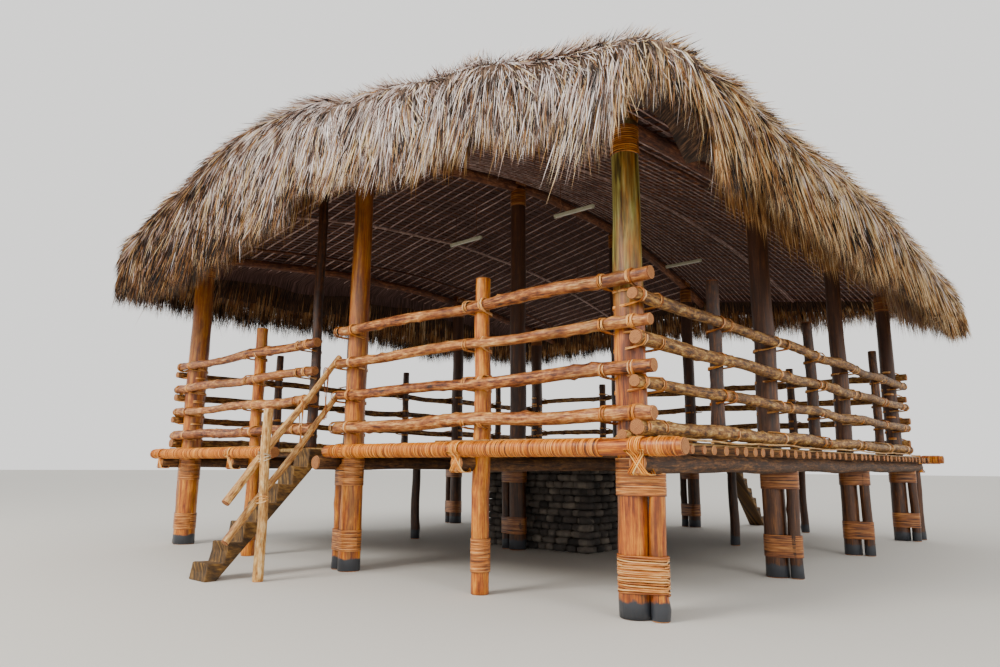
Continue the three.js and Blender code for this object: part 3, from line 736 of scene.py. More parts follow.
def makeColumns():
    for line in columns["lines"]:
        for row, radii in enumerate(columns["radii"][line]):
            node = columnNode(line, row)
            x, y = nodeAxis(node)
            log = logPart([(x, y, 0), (x, y, nodeBox(node)[1][2])], radii, *columns["log"])
            isNear = (line, row) == ("right", 0)
            if row == 0 and not isNear:
                log["tone"][:] = columns["frontTone"]
            skin = "columnPeeled" if isNear else "column" if row == 0 else "columnShaded"
            buildPiece("log_" + node, [log], [skin, "cut"], [node])
    x, y = nodeAxis("stair_side_post")
    low, high = nodeBox("stair_side_post")
    post = logPart([(x, y, low[2]), (x, y, high[2])], stairPost["radii"], *stairPost["log"])
    buildPiece("log_stair_side_post", [post], ["shaded", "cut"], ["stair_side_post"])
    print("columns ready")


# Floor frame: beam logs on support logs, and the rows of columns that each trestle stands beside
trestles = {
    "places": {"trestle_right": {"beamX": 5.655, "postX": 5.605, "rows": [0, 1, 2, 3, "end"]},
               "trestle_inner_right": {"beamX": 2.993, "postX": 2.993, "rows": [1, 2, "end"]},
               "trestle_middle": {"beamX": -0.125, "postX": -0.075, "rows": [0, 1, 2, 3]},
               "trestle_inner_left": {"beamX": -2.785, "postX": -2.785, "rows": [1, 2, "end"]},
               "trestle_left": {"beamX": -5.655, "postX": -5.605, "rows": [0, 1, 2, 3, "end"]}},
    "beamY": [-6.29, 6.41], "beamHeight": 1.64, "beamRadius": 0.108, "beamTaper": 0.94,
    "beam": (0.16, 16, 0.012, 0.04, 16, 0.16),
    "postRadius": 0.096, "postTaper": 0.95, "postDrop": 0.02, "endPostY": 6.3,
    "post": (0.13, 16, 0.012, 0.04, 4, 0.2),
}
rowY = [nodeAxis(columnNode("right", row))[1] for row in range(4)]


def makeTrestles():
    first, last = trestles["beamY"]
    height, radius, thick = trestles["beamHeight"], trestles["beamRadius"], trestles["postRadius"]
    for name, trestle in trestles["places"].items():
        beamX, postX = trestle["beamX"], trestle["postX"]
        parts = [logPart([(beamX, first, height), (beamX, last, height)],
                         [radius, radius * trestles["beamTaper"]], *trestles["beam"])]
        for row in trestle["rows"]:
            y = trestles["endPostY"] if row == "end" else rowY[row]
            post = logPart([(postX, y, 0), (postX, y, height - trestles["postDrop"])],
                           [thick, thick * trestles["postTaper"]], *trestles["post"])
            paintSkin(post, 2 if row == 0 else 3)
            parts.append(post)
        buildPiece("logs_" + name, parts, ["beam", "cut", "column", "columnShaded"], [name])
    print("trestles ready")


# Edge logs on the beam ends: spans wrapped in cane, and straps that bind them to the beams
edgeLogs = {
    "edge_log_front_right": {"wrapped": [(0.3, 0.55), (0.62, 2.86), (3.1, 5.2), (5.78, 6.13)],
                             "straps": [2.993, 5.655]},
    "edge_log_front_left": {"wrapped": [(-5.95, -5.76), (-5.52, -2.9), (-2.68, -1.42)],
                            "straps": [-5.655, -2.785]},
    "edge_log_back": {"wrapped": [(-5.95, -5.76), (-5.52, -2.9), (-2.68, -0.25), (0.02, 2.86), (3.1, 5.52),
                                  (5.78, 6.13)],
                      "straps": [-5.655, -2.785, -0.125, 2.993, 5.655]},
}
edgeWrap = {
    "radius": 0.092, "taper": 0.97, "height": 1.812, "shift": 6.265, "clear": 0.002,
    "log": (0.14, 18, 0.004, 0.015, 10, 0.08),
    "front": (0.015, 0.007, 0.004), "frontSides": 15,
    "back": (0.022, 0.007, 0.004), "backSides": 12,
}

# Cane over a beam end: its route inwards and up from the end's face, flat turns and crossed turns
ties = {
    "clear": 0.012, "faceClear": 0.004, "arc": (0.3, 3.5, 9), "behind": (0.09, 0.11),
    "route": [(0, 0.09), (0, 0), (0.01, -0.1), (0.05, -0.118), (0.16, -0.117), (0.18, 0)],
    "turns": 6, "step": 0.026, "width": 0.024, "thick": 0.006,
    "crossed": 3, "crossStep": 0.03, "crossWidth": 0.02, "crossOut": 0.008, "slope": 0.7, "middle": 1.66,
    "highest": 0.02, "closing": (0.05, 0.12, 0.08),
}


def beamEndLashing(beamX, side):
    y, high, low = side * edgeWrap["shift"], edgeWrap["height"], trestles["beamHeight"]
    reach = edgeWrap["radius"] + ties["clear"]
    face = side * (abs(trestles["beamY"][0 if side < 0 else 1]) + ties["faceClear"])
    path = [(y - side * reach * math.cos(a), high + reach * math.sin(a)) for a in np.linspace(*ties["arc"])]
    path += [(face - side * inwards, low + up) for inwards, up in ties["route"]]
    path.append((y - side * ties["behind"][0], low + ties["behind"][1]))
    parts = []
    for turn in range(ties["turns"]):
        x = beamX + ties["step"] * (turn - (ties["turns"] - 1) / 2)
        parts.append(loopPart([(x, *point) for point in path], ties["width"], ties["thick"], 2))
    lean, inwards, up = ties["closing"]
    for way in (-1, 1):
        for turn in range(ties["crossed"]):
            x = beamX + ties["crossStep"] * (turn - 1)
            slant = [(x + way * ties["slope"] * (z - ties["middle"]), at + side * ties["crossOut"], z)
                     for at, z in path if z < high - ties["highest"]]
            slant.append((x + way * lean, face - side * inwards, low + up))
            parts.append(loopPart(slant, ties["crossWidth"], ties["thick"], 2))
    return parts


def makeEdgeLogs():
    radius, height = edgeWrap["radius"], edgeWrap["height"]
    for name, edge in edgeLogs.items():
        low, high = nodeBox(name)
        side, end = (-1, "front") if low[1] < 0 else (1, "back")
        y = side * edgeWrap["shift"]
        parts = [logPart([(low[0], y, height), (high[0], y, height)], [radius, radius * edgeWrap["taper"]],
                         *edgeWrap["log"])]
        outline = circleOutline(radius + edgeWrap["clear"], edgeWrap[end + "Sides"])
        for start, stop in edge["wrapped"]:
            parts.append(sleevePart((start, y, height), alongX, outline, stop - start, *edgeWrap[end], 2))
        for beamX in edge["straps"]:
            parts += beamEndLashing(beamX, side)
        buildPiece("wrapped_" + name, parts, ["oiled", "cut", "caneGold"], [name])
    print("edge logs ready")


# Cane bands round each column and its support log, at its head, over the roof log and round rail posts
bands = {
    "lower": [0.3, 0.62], "nearLower": [0.28, 0.66], "upper": [1.29, 1.58], "collar": [1.585, 1.7],
    "post": [0.27, 0.69], "head": [0.44, 0.08], "over": 0.34, "overRadius": 0.102,
    "clear": 0.006, "supportClear": 0.004, "measuredAt": 0.5,
    "front": (0.013, 0.004, 0.006),
    "far": (0.0182, 0.004, 0.006),
    "collarWrap": (0.013, 0.004, 0.004),
    "headWrap": (0.026, 0.007, 0.008),
    "overWrap": (0.026, 0.008, 0.006),
    "loose": {"gap": 0.025, "extra": 6, "tilt": 0.016, "width": (0.018, 0.027), "thick": 0.008, "clear": 0.003,
              "wave": 4},
}


# The near column's lower band has worked loose: single rings that lie askew
def looseBand(x, y, outline, low, high):
    loose = bands["loose"]
    parts = []
    for z in np.concatenate([np.arange(low, high, loose["gap"]), dice.uniform(low, high, loose["extra"])]):
        tilt = dice.uniform(-loose["tilt"], loose["tilt"])
        phase = dice.uniform(0, phaseTurn)
        turns = np.arange(len(outline)) / len(outline)
        askew = z + tilt * np.sin(phase + loose["wave"] * turns) * np.cos(phaseTurn * turns)
        ring = np.column_stack([x + outline[:, 0], y + outline[:, 1], askew])
        parts.append(loopPart(ring, dice.uniform(*loose["width"]), loose["thick"], 2))
    return parts


def columnBands(line, row):
    x, y = nodeAxis(columnNode(line, row))
    isFront = row == 0
    # behind the front row the bands take the cane with painted shade
    slot = 0 if isFront else 1
    wrap = bands["front" if isFront else "far"]
    radius = columnRadius(line, row, bands["measuredAt"]) + bands["clear"]
    support = columns["supportRadius"] + bands["supportClear"]
    shift = (columns["support"][line], 0)
    pair = pairOutline(radius, support, shift, 24 if isFront else 18)
    if (line, row) == ("right", 0):
        more = bands["loose"]["clear"]
        parts = looseBand(x, y, pairOutline(radius + more, support + more, shift), *bands["nearLower"])
    else:
        low, high = bands["lower"]
        parts = [sleevePart((x, y, low), upright, pair, high - low, *wrap, slot)]
    low, high = bands["upper"]
    parts.append(sleevePart((x, y, low), upright, pair, high - low, *wrap, slot))
    if isFront:
        low, high = bands["collar"]
        parts.append(sleevePart((x, y, low), upright, circleOutline(radius), high - low, *bands["collarWrap"]))
    return parts


def headBands(line, row):
    node = columnNode(line, row)
    x, y = nodeAxis(node)
    top = nodeBox(node)[1][2]
    # behind the front row the bands take the cane with painted shade
    slot = 0 if row == 0 else 1
    outline = circleOutline(columnRadius(line, row, top) + bands["clear"], 16)
    low, high = top - bands["head"][0], top - bands["head"][1]
    head = sleevePart((x, y, low), upright, outline, high - low, *bands["headWrap"], slot)
    z = top + (roof["ridgeRadius"] if line == "middle" else roof["plateRadius"])
    outline = circleOutline(bands["overRadius"], 14)
    over = sleevePart((x, y - bands["over"] / 2, z), alongY, outline, bands["over"],
                      *bands["overWrap"], slot)
    return [head, over]


def makeBands():
    lowParts, headParts = [], []
    for line in columns["lines"]:
        for row in range(4):
            lowParts += columnBands(line, row)
            headParts += headBands(line, row)
    low, high = bands["post"]
    for name in ("front_right", "front_left"):
        outline = circleOutline(railPosts[name]["radius"] + bands["clear"], 18)
        x, y = railPosts[name]["places"][0]
        lowParts.append(sleevePart((x, y, low), upright, outline, high - low, *bands["front"]))
    skins = ["cane", "caneShaded", "canePale"]
    buildPiece("cane_bands_low", lowParts, skins)
    buildPiece("cane_bands_high", headParts, skins)
    print("bands ready")


# Rail posts: those of the front stand on the ground, the others on the floor
railPosts = {
    "front_right": {"places": [(3.088, -5.915)], "radius": 0.12},
    "front_left": {"places": [(-2.605, -5.915)], "radius": 0.115},
    "right": {"places": [(5.43, -3.8), (5.43, 0.0), (5.43, 4.13)], "radius": 0.096},
    "left": {"places": [(-5.43, -3.78), (-5.43, 0.155), (-5.43, 4.0)], "radius": 0.096},
    "back": {"places": [(2.993, 5.92), (-2.785, 5.92)], "radius": 0.11},
}
postShape = {"top": 4.14, "taper": 0.86,
             "log": (0.1, 16, 0.01, 0.04, 14, 0.14)}

# Railings: four knotty logs each, with the rings along a log and the points of its lashings
railings = {
    "front_right": {"from": (0.06, -6.06), "to": (5.74, -6.06), "heights": [2.18, 2.694, 3.207, 3.732],
                    "spacing": 0.055, "lashPoints": 32},
    "front_left": {"from": (-5.63, -6.06), "to": (-0.58, -6.06), "heights": [2.187, 2.684, 3.155, 3.634],
                   "spacing": 0.055, "lashPoints": 32},
    "back": {"from": (-5.63, 6.06), "to": (5.63, 6.06), "heights": [2.18, 2.694, 3.207, 3.732],
             "spacing": 0.12, "lashPoints": 18},
    "right": {"from": (5.565, -6.13), "to": (5.565, 6.13), "heights": [2.03, 2.53, 3.021, 3.51],
              "spacing": 0.085, "lashPoints": 24},
    "left": {"from": (-5.565, -6.13), "to": (-5.565, 6.13), "heights": [2.03, 2.52, 2.99, 3.47],
             "spacing": 0.12, "lashPoints": 18},
}
railShape = {
    "radius": 0.073, "vary": (0.94, 1.08), "lowest": 1.14, "slide": 0.03,
    "tapers": [(1.06, 0.94), (0.92, 1.08)],
    "bend": {"rise": 0.014, "step": 2.4, "start": 0.6, "sideStart": 2, "atPost": 0.6},
    "log": {"sides": 14, "bow": 0.022, "rough": 0.05, "knotSize": 0.34}, "knotEvery": 0.22,
    "curb": [(5.42, -6.2, 1.945), (5.42, -6.03, 1.945)], "curbRadii": [0.06, 0.06],
    "measuredAt": 2.8, "stairPostRadius": 0.085,
}

# A lashing's turns: how much further out each lies than the last, and where it bends round the post
lashing = {
    "turns": 4, "width": 0.021, "thick": 0.007, "spread": 0.8, "apart": 0.02, "rise": 0.008,
    "riseStep": 0.004, "behind": 0.006, "behindStep": 0.001, "skew": 0.01, "front": 0.009,
    "shoulderHigh": 0.8, "shoulderOut": 0.55,
    "flank": 0.35, "round": 0.72, "dropStep": 0.006, "middleStep": 0.007,
}


# A closed Catmull-Rom curve through the points
def smoothLoop(points, count):
    line = np.array(points, float)
    steps = np.arange(count) * len(line) / count
    index = steps.astype(int)
    t = (steps - index)[:, None]
    a, b, c, d = (line[(index + shift) % len(line)] for shift in (-1, 0, 1, 2))
    square = (2 * a - 5 * b + 4 * c - d) * t ** 2
    return 0.5 * (2 * b + (c - a) * t + square + (3 * b - a - 3 * c + d) * t ** 3)


# Square lashing: over the rail on both sides of the post, and behind the post above and below the rail
def squareLashing(post, postRadius, outward, railCentre, railRadius, count):
    along = np.cross(outward, [0, 0, 1.0])
    lift = np.array([0, 0, 1.0])
    gap = float(np.dot(np.array(railCentre[:2]) - np.array(post), outward[:2]))
    origin = np.array([post[0], post[1], railCentre[2]])
    shoulder, flank = gap + railRadius * lashing["shoulderOut"], gap * lashing["flank"]
    parts = []
    for turn in range(lashing["turns"]):
        wide = postRadius * lashing["spread"] + lashing["apart"] * (turn + 1)
        high = railRadius + lashing["rise"] + lashing["riseStep"] * turn
        behind = postRadius + lashing["behind"] + lashing["behindStep"] * turn
        skew = lashing["skew"] * (turn % 2 - 0.5)
        corner, back = postRadius * lashing["round"], -behind * lashing["round"]
        deep, deepest = high + lashing["dropStep"] * turn, high + lashing["middleStep"] * turn
        half = [(-wide, high * lashing["shoulderHigh"], shoulder),
                (-wide + skew, 0.0, gap + railRadius + lashing["front"]),
                (-wide, -high * lashing["shoulderHigh"], shoulder), (-postRadius, -high, flank),
                (-corner, -deep, back), (0, -deepest, -behind)]
        mirrored = [(-a, b, n) for a, b, n in half[::-1][1:]]
        above = [(postRadius, high, flank), (corner, deep, back), (0, deepest, -behind),
                 (-corner, deep, back), (-postRadius, high, flank)]
        path = [origin + along * a + lift * b + outward * n for a, b, n in half + mirrored + above]
        parts.append(loopPart(smoothLoop(path, count), lashing["width"], lashing["thick"], 2))
    return parts


# Places and radii of the posts and columns that a railing is tied to
def uprightsOf(name):
    found = [(place, railPosts[name]["radius"]) for place in railPosts[name]["places"]]
    if name == "front_left":
        found.append((nodeAxis("stair_side_post"), railShape["stairPostRadius"]))
    rows = {"front_right": [("right", 0), ("middle", 0)], "front_left": [("left", 0)],
            "back": [(line, 3) for line in columns["lines"]]}
    for line, row in rows.get(name, [(name, row) for row in range(4)]):
        found.append((nodeAxis(columnNode(line, row)), columnRadius(line, row, railShape["measuredAt"])))
    return found


def makeRailings():
    for name, rail in railings.items():
        isFront = name.startswith("front")
        start, end = np.array(rail["from"]), np.array(rail["to"])
        middle, length = (start + end) / 2, np.linalg.norm(end - start)
        run = (end - start) / length
        outward = np.array([run[1], -run[0], 0.0])
        outward = outward if np.dot(outward[:2], middle) > 0 else -outward
        bend, isSide = railShape["bend"], run[0] < 0.5
        parts, lashings = [], []
        for index, height in enumerate(rail["heights"]):
            turn = bend["step"] * (index + bend["sideStart"] * isSide)
            rise = bend["rise"] * math.cos(turn + bend["start"])
            thick = railShape["radius"] * dice.uniform(*railShape["vary"])
            thick *= railShape["lowest"] if index == 0 else 1
            slide = run * dice.uniform(-railShape["slide"], railShape["slide"])
            line = [(*(start + slide), height), (*middle, height + rise), (*(end + slide), height)]
            parts.append(logPart(line, [thick * taper for taper in railShape["tapers"][index % 2]],
                                 rail["spacing"], knots=int(length / railShape["knotEvery"]),
                                 **railShape["log"]))
            for place, postRadius in uprightsOf(name):
                railAt = np.where(np.abs(run) > 0.5, place, start)
                railPoint = (*railAt, height + rise * bend["atPost"])
                lashings += squareLashing(place, postRadius, outward, railPoint,
                                          thick, rail["lashPoints"])
        thick = railPosts[name]["radius"]
        foot = 0 if isFront else floorTop
        for x, y in railPosts[name]["places"]:
            post = logPart([(x, y, foot), (x, y, postShape["top"])], [thick, thick * postShape["taper"]],
                           *postShape["log"])
            paintSkin(post, 3)
            if isFront:
                post["tone"][:] = columns["frontTone"]
            parts.append(post)
        if name == "right":
            parts.append(logPart(railShape["curb"], railShape["curbRadii"], 0.08, 14))
        # the railings at the sides and back take bark and posts with painted shade
        skins = ["bark", "cut", "cane", "oiled"] if isFront else ["dullShadedBark", "cut", "cane", "shaded"]
        buildPiece("logs_railing_" + name, parts + lashings, skins, ["railing_" + name])
    print("railings ready")


# Floor: joists, split-cane deck strips and the thin poles that trim its edge
floor = {
    "joistLift": 0.1536, "joistRadius": 0.062, "joistVary": (0.86, 0.99), "joistTaper": 0.96,
    "joistSpacing": 0.29, "joistReach": 5.97, "joistUneven": 0.03,
    "joist": (1.0, 12, 0.004, 0.03, 8, 0.12),
    "reach": 5.8, "edgeY": 6.08, "edgeUneven": 0.02, "stripWidth": 0.046, "stripGap": 0.004,
    "stripDrop": 0.034,
    "stripThick": (0.028, 0.034), "strip": (6.0, 6, 0.0, 0.0),
    "trimX": 5.78, "trimLift": 0.03, "trimReach": 6.05, "trimPoints": 34, "trimRadii": [0.014, 0.0126],
    "trimWaves": [(0.012, 1.9, 0), (0.008, 5.3, 1)], "trim": (0.35, 8, 0.0, 0.02),
    "frontTrims": [[(2.4, -6.1, 0.05), (5.35, -6.1, 0.03)], [(-5.5, -6.1, 0.03), (-2.0, -6.1, 0.04)]],
}


def floorTrims():
    waves = []
    for y in np.linspace(-floor["trimReach"], floor["trimReach"], floor["trimPoints"]):
        rise = sum(height * math.sin(turns * y + start) for height, turns, start in floor["trimWaves"])
        waves.append((floor["trimX"], y, floorTop + floor["trimLift"] + rise))
    lines = [waves, [(-x, y, z) for x, y, z in waves]]
    return lines + [[(x, y, floorTop + lift) for x, y, lift in line] for line in floor["frontTrims"]]


def makeFloor():
    height = trestles["beamHeight"] + floor["joistLift"]
    parts = []
    count = int((2 * (floor["edgeY"] - floor["joistRadius"])) / floor["joistSpacing"])
    for index in range(count + 1):
        y = (index - count / 2) * floor["joistSpacing"]
        reach = floor["joistReach"] + dice.uniform(-floor["joistUneven"], 0.0)
        size = floor["joistRadius"] * dice.uniform(*floor["joistVary"])
        parts.append(logPart([(-reach, y, height), (reach, y, height)], [size, size * floor["joistTaper"]],
                             *floor["joist"]))
    step, half = floor["stripWidth"] + floor["stripGap"], floor["stripWidth"] / 2
    low = floorTop - floor["stripDrop"]
    for index in range(int(2 * floor["reach"] / step)):
        x = -floor["reach"] + step * (index + 0.5)
        reach = floor["edgeY"] - dice.uniform(0, floor["edgeUneven"])
        strip = logPart([(x, -reach, low), (x, reach, low)], [1, 1], *floor["strip"])
        strip["verts"][:, 0] = x + (strip["verts"][:, 0] - x) * half
        strip["verts"][:, 2] = low + (strip["verts"][:, 2] - low) * dice.uniform(*floor["stripThick"])
        strip["uv"][:, 0] *= half
        paintAll(strip, 2)
        parts.append(strip)
    for line in floorTrims():
        trim = logPart(line, floor["trimRadii"], *floor["trim"])
        paintAll(trim, 3)
        parts.append(trim)
    looks = ["beam", "cut", "deck", "peeled"]
    buildPiece("joists_and_cane_deck", parts, looks, ["floor_deck_and_joists"])
    print("floor ready")


# Handrail: two peeled poles tied to a leaning post, and cords between them
handrail = {
    "upper": {"line": [(0.11, -7.86, 1.075), (-0.02, -5.99, 3.339)],
              "radii": [0.061, 0.046], "turns": 5, "slot": 3},
    "lower": {"line": [(0.11, -7.83, 0.545), (-0.02, -5.99, 2.722)],
              "radii": [0.054, 0.046], "turns": 3, "slot": 2},
    "pole": (0.07, 14, 0.012, 0.03, 10, 0.16),
    "post": [(0.172, -7.33, 0), (0.172, -7.33, 2.41)], "postRadii": [0.074, 0.064],
    "postLog": (0.08, 16, 0.014, 0.05, 8, 0.2),
    "cords": [0.28, 0.62, 0.86], "cordTurns": 3, "cordStep": 0.016, "cordPoints": 26, "cord": (0.012, 0.006),
    "cordTop": [(0.056, 0.03), (-0.056, 0.03)], "cordLow": [(0.05, -0.03), (-0.05, -0.05), (0.0, -0.06)],
    "tie": {"points": 20, "shift": -0.03, "reach": (0.115, 0.075), "drop": 0.04, "step": 0.02, "slant": 0.03,
            "band": (0.016, 0.007)},
}


def pointOn(line, share):
    return np.array(line[0]) + (np.array(line[1]) - np.array(line[0])) * share


def handrailCords():
    parts = []
    for share in handrail["cords"]:
        top, low = (pointOn(handrail[name]["line"], share) for name in ("upper", "lower"))
        for turn in range(handrail["cordTurns"]):
            spread = handrail["cordStep"] * (turn - 1)
            path = [top + (x, spread, z) for x, z in handrail["cordTop"]]
            path += [low + (x, -spread, z) for x, z in handrail["cordLow"]]
            parts.append(loopPart(smoothLoop(path, handrail["cordPoints"]), *handrail["cord"], 2))
    return parts


def handrailTies(pole):
    post, tie = handrail["post"][0], handrail["tie"]
    near, far = pole["line"]
    height = np.interp(post[1], [near[1], far[1]], [near[2], far[2]])
    parts = []
    for turn in range(pole["turns"]):
        z = height - tie["drop"] + tie["step"] * turn
        ring = [(post[0] + tie["shift"] + tie["reach"][0] * math.cos(a),
                 post[1] + tie["reach"][1] * math.sin(a),
                 z + tie["slant"] * math.sin(a + turn))
                for a in np.linspace(0, 2 * math.pi, tie["points"], endpoint=False)]
        parts.append(loopPart(ring, *tie["band"], pole["slot"]))
    return parts


def makeHandrail():
    poles = [handrail["upper"], handrail["lower"]]
    parts = [logPart(pole["line"], pole["radii"], *handrail["pole"]) for pole in poles]
    parts.append(logPart(handrail["post"], handrail["postRadii"], *handrail["postLog"]))
    parts += handrailCords()
    for pole in poles:
        parts += handrailTies(pole)
    buildPiece("peeled_handrail", parts, ["peeled", "cut", "cane", "paleTie"], ["stair_handrail"])
    print("handrail ready")


# Notched-log stairs: a saw-tooth log whose underside stays round
stairs = {
    "flights": {"stair_front": {"x": -0.5, "width": 0.47, "foot": -7.88, "top": -6.062, "side": 1},
                "stair_back": {"x": 1.15, "width": 0.42, "foot": 7.895, "top": 6.062, "side": -1}},
    "steps": 7, "depth": 0.21, "slices": 9, "uneven": 0.02, "bite": (0.035, 0.45), "noseDrop": 0.015,
    "heel": (0.01, 0.04), "headDrop": 0.025, "toe": 1.1, "taper": 0.14,
    "belly": {"rise": 0.55, "round": 0.9, "back": 0.8, "low": 0.05},
    "nose": {"worn": 0.05, "rough": 0.006, "sag": 0.02}, "bevel": (0.014, 2, 28), "grain": (0.3, 0.7),
}


# Side view of a flight: per step the bite of the axe, the nose and the heel of the tread
def stairProfile(rise, run):
    profile = [(0.0, 0.0)]
    (biteIn, biteUp), (heelIn, heelDrop) = stairs["bite"], stairs["heel"]
    for step in range(stairs["steps"]):
        back = dice.uniform(-stairs["uneven"], stairs["uneven"])
        profile += [(run * step + biteIn + back, rise * step + rise * biteUp),
                    (run * step + back / 2, rise * (step + 1) - stairs["noseDrop"]),
                    (run * (step + 1) + heelIn, rise * (step + 1) - heelDrop)]
    length, top = run * stairs["steps"], rise * stairs["steps"] - stairs["headDrop"]
    profile[-1] = (length, top)
    return np.array(profile + [(length, top - stairs["depth"]), (stairs["depth"] * stairs["toe"], 0.0)])


# The profile at each slice across the log, hollowed below and worn at the noses
def stairSlices(stair):
    rise, run = floorTop / stairs["steps"], abs(stair["foot"] - stair["top"]) / stairs["steps"]
    profile = stairProfile(rise, run)
    count, belly, nose = len(profile), stairs["belly"], stairs["nose"]
    isUnder = np.arange(count) >= count - 2
    isNose = np.zeros(count, bool)
    isNose[2:count - 2:3] = True
    rows = []
    for across in np.linspace(-1, 1, stairs["slices"]):
        points = profile.copy()
        lift = stairs["depth"] * belly["rise"] * (1 - math.sqrt(max(0, 1 - belly["round"] * across ** 2)))
        isRaised = points[isUnder, 1] > belly["low"]
        points[isUnder, 1] += lift * isRaised
        points[isUnder, 0] -= lift * belly["back"] * ~isRaised
        points[isNose, 0] += nose["worn"] * across ** 2
        points[isNose, 0] += dice.uniform(-nose["rough"], nose["rough"], isNose.sum())
        points[isNose, 1] -= nose["sag"] * across ** 4
        half = stair["width"] / 2 * (1 - stairs["taper"] * points[:, 1] / floorTop)
        x = stair["x"] + stair["side"] * across * half
        y = stair["foot"] + stair["side"] * points[:, 0]
        rows.append(np.stack([x, y, np.maximum(points[:, 1], 0)], axis=1))
    return rows


def stairLog(rows):
    count, slices = len(rows[0]), len(rows)
    faces = []
    for start in range(0, (slices - 1) * count, count):
        for corner in range(count):
            a, b = start + corner, start + (corner + 1) % count
            faces.append((a, b, b + count, a + count))
    faces += [tuple(range(count))[::-1], tuple(range((slices - 1) * count, slices * count))]
    mesh = bpy.data.meshes.new("notchedLog")
    mesh.from_pydata(np.concatenate(rows).tolist(), [], faces)
    log = bpy.data.objects.new("notchedLog", mesh)
    bpy.context.scene.collection.objects.link(log)
    editAll(log)
    bpy.ops.mesh.normals_make_consistent(inside=False)
    setMode("OBJECT")
    bevel = log.modifiers.new("soften", "BEVEL")
    bevel.width, bevel.segments, angle = stairs["bevel"]
    bevel.angle_limit = math.radians(angle)
    bpy.ops.object.modifier_apply(modifier="soften")
    return readBlank(log)


def makeStairs():
    aside, slope = stairs["grain"]
    for name, stair in stairs["flights"].items():
        log = stairLog(stairSlices(stair))
        corners = log["verts"][log["loops"]]
        uv = np.stack([corners[:, 0] + aside * corners[:, 2], slope * (corners[:, 1] + corners[:, 2])], axis=1)
        buildPiece("notched_" + name, [blankPart(log, log["verts"], uv, 0.5)], ["stair"], [name])
    print("stairs ready")


# A box with bevelled edges, as a blank
def blockBlank(size, offset, segments):
    clearSelection()
    bpy.ops.mesh.primitive_cube_add(size=1, location=(0, 0, 0))
    block = bpy.context.object
    block.scale = size
    bpy.ops.object.transform_apply(scale=True)
    editAll(block)
    bpy.ops.mesh.bevel(offset=offset, segments=segments)
    return readBlank(block)


# Hearth base: dry-laid stones in courses round a dark core
hearth = {
    "course": 0.125, "stone": (0.16, 0.36), "deep": (0.2, 0.28), "thick": (0.92, 1.04), "joint": 0.98,
    "start": (-0.05, 0.0), "shortest": 0.12, "proud": (0.0, 0.035), "askew": 0.06, "rough": 0.07,
    "topGap": 0.01, "coreInset": 0.12, "coreDrop": 0.01, "bevel": 0.2,
}


# Stones of one course along one side, from a corner towards the next
def stoneRow(blank, corner, ahead, length, z, thick, box):
    (x, y), (dx, dy), (low, high) = corner, ahead, box
    parts = []
    place = dice.uniform(*hearth["start"])
    while place < length - hearth["shortest"]:
        long = min(dice.uniform(*hearth["stone"]), length - place)
        deep = dice.uniform(*hearth["deep"])
        size = np.array([long * hearth["joint"], deep, thick * dice.uniform(*hearth["thick"])])
        middle = max(place, 0) + long / 2
        inset = deep / 2 + dice.uniform(*hearth["proud"])
        turn = dice.uniform(-hearth["askew"], hearth["askew"])
        dents = dice.uniform(-hearth["rough"], hearth["rough"], blank["verts"].shape)
        local = blank["verts"] * size * (1 + dents)
        across = local[:, 0] * math.cos(turn) - local[:, 1] * math.sin(turn) + middle
        depth = local[:, 0] * math.sin(turn) + local[:, 1] * math.cos(turn) + inset
        verts = np.stack([x + dx * across - dy * depth, y + dy * across + dx * depth,
                          np.maximum(local[:, 2] + z, 0)], axis=1)
        verts[:, :2] = np.clip(verts[:, :2], low[:2], high[:2])
        parts.append(blankPart(blank, verts, verts[blank["loops"]][:, [0, 2]], dice.uniform(0, 1), True))
        place += long
    return parts


def makeHearth():
    blank = blockBlank((1, 1, 1), hearth["bevel"], 1)
    low, high = nodeBox("hearth_base")
    size, top = high - low, high[2] - hearth["topGap"]
    sides = [((low[0], low[1]), (1, 0), size[0]), ((high[0], low[1]), (0, 1), size[1]),
             ((high[0], high[1]), (-1, 0), size[0]), ((low[0], high[1]), (0, -1), size[1])]
    courses = int(top / hearth["course"])
    parts = []
    for course in range(courses):
        for corner, ahead, length in sides:
            parts += stoneRow(blank, corner, ahead, length, (course + 0.5) * top / courses, top / courses,
                              (low, high))
    middle = (low + high) / 2
    core = blank["verts"] / np.abs(blank["verts"]).max(axis=0)
    core = core * [size[0] / 2 - hearth["coreInset"], size[1] / 2 - hearth["coreInset"],
                   top / 2 - hearth["coreDrop"]] + [middle[0], middle[1], top / 2]
    parts.append(blankPart(blank, core, core[blank["loops"]][:, [0, 2]], 0))
    buildPiece("dry_stone_hearth", parts, ["stone"], ["hearth_base"])
    print("hearth ready")


# Roof frame: arched ridge and side logs, thin rafter poles, purlins and reed battens
roof = {
    "ridgeX": 0.215, "ridgeCrown": 7.58, "ridgeDrop": 0.84, "ridgeRadius": 0.1,
    "right": {"x": 5.315, "crown": 5.98, "drop": 0.235}, "left": {"x": -5.315, "crown": 6.48, "drop": 0.44},
    "plateRadius": 0.092, "reach": 6.98, "onPlate": 0.095, "onRidge": 0.105,
    "ridge": (0.16, 16, 0.012, 0.03, 14, 0.12),
    "plate": (0.16, 16, 0.012, 0.04, 16, 0.16),
}
rafters = {
    "radius": 0.015, "vary": (0.8, 1.15), "tapers": (0.9, 1.1), "spacing": 0.28, "uneven": 0.03,
    "reachY": 6.75, "ridgeGap": 0.03, "end": 6.35, "endUneven": 0.15,
    "pole": (0.8, 7, 0.012, 0.05),
}
purlins = {
    "radii": [0.03, 0.024], "reach": 6.8, "drop": 0.022, "rows": [(0.53, 0), (0.88, 2)],  # share down, slot
    "log": (0.4, 10, 0.01, 0.05, 8, 0.1),
}
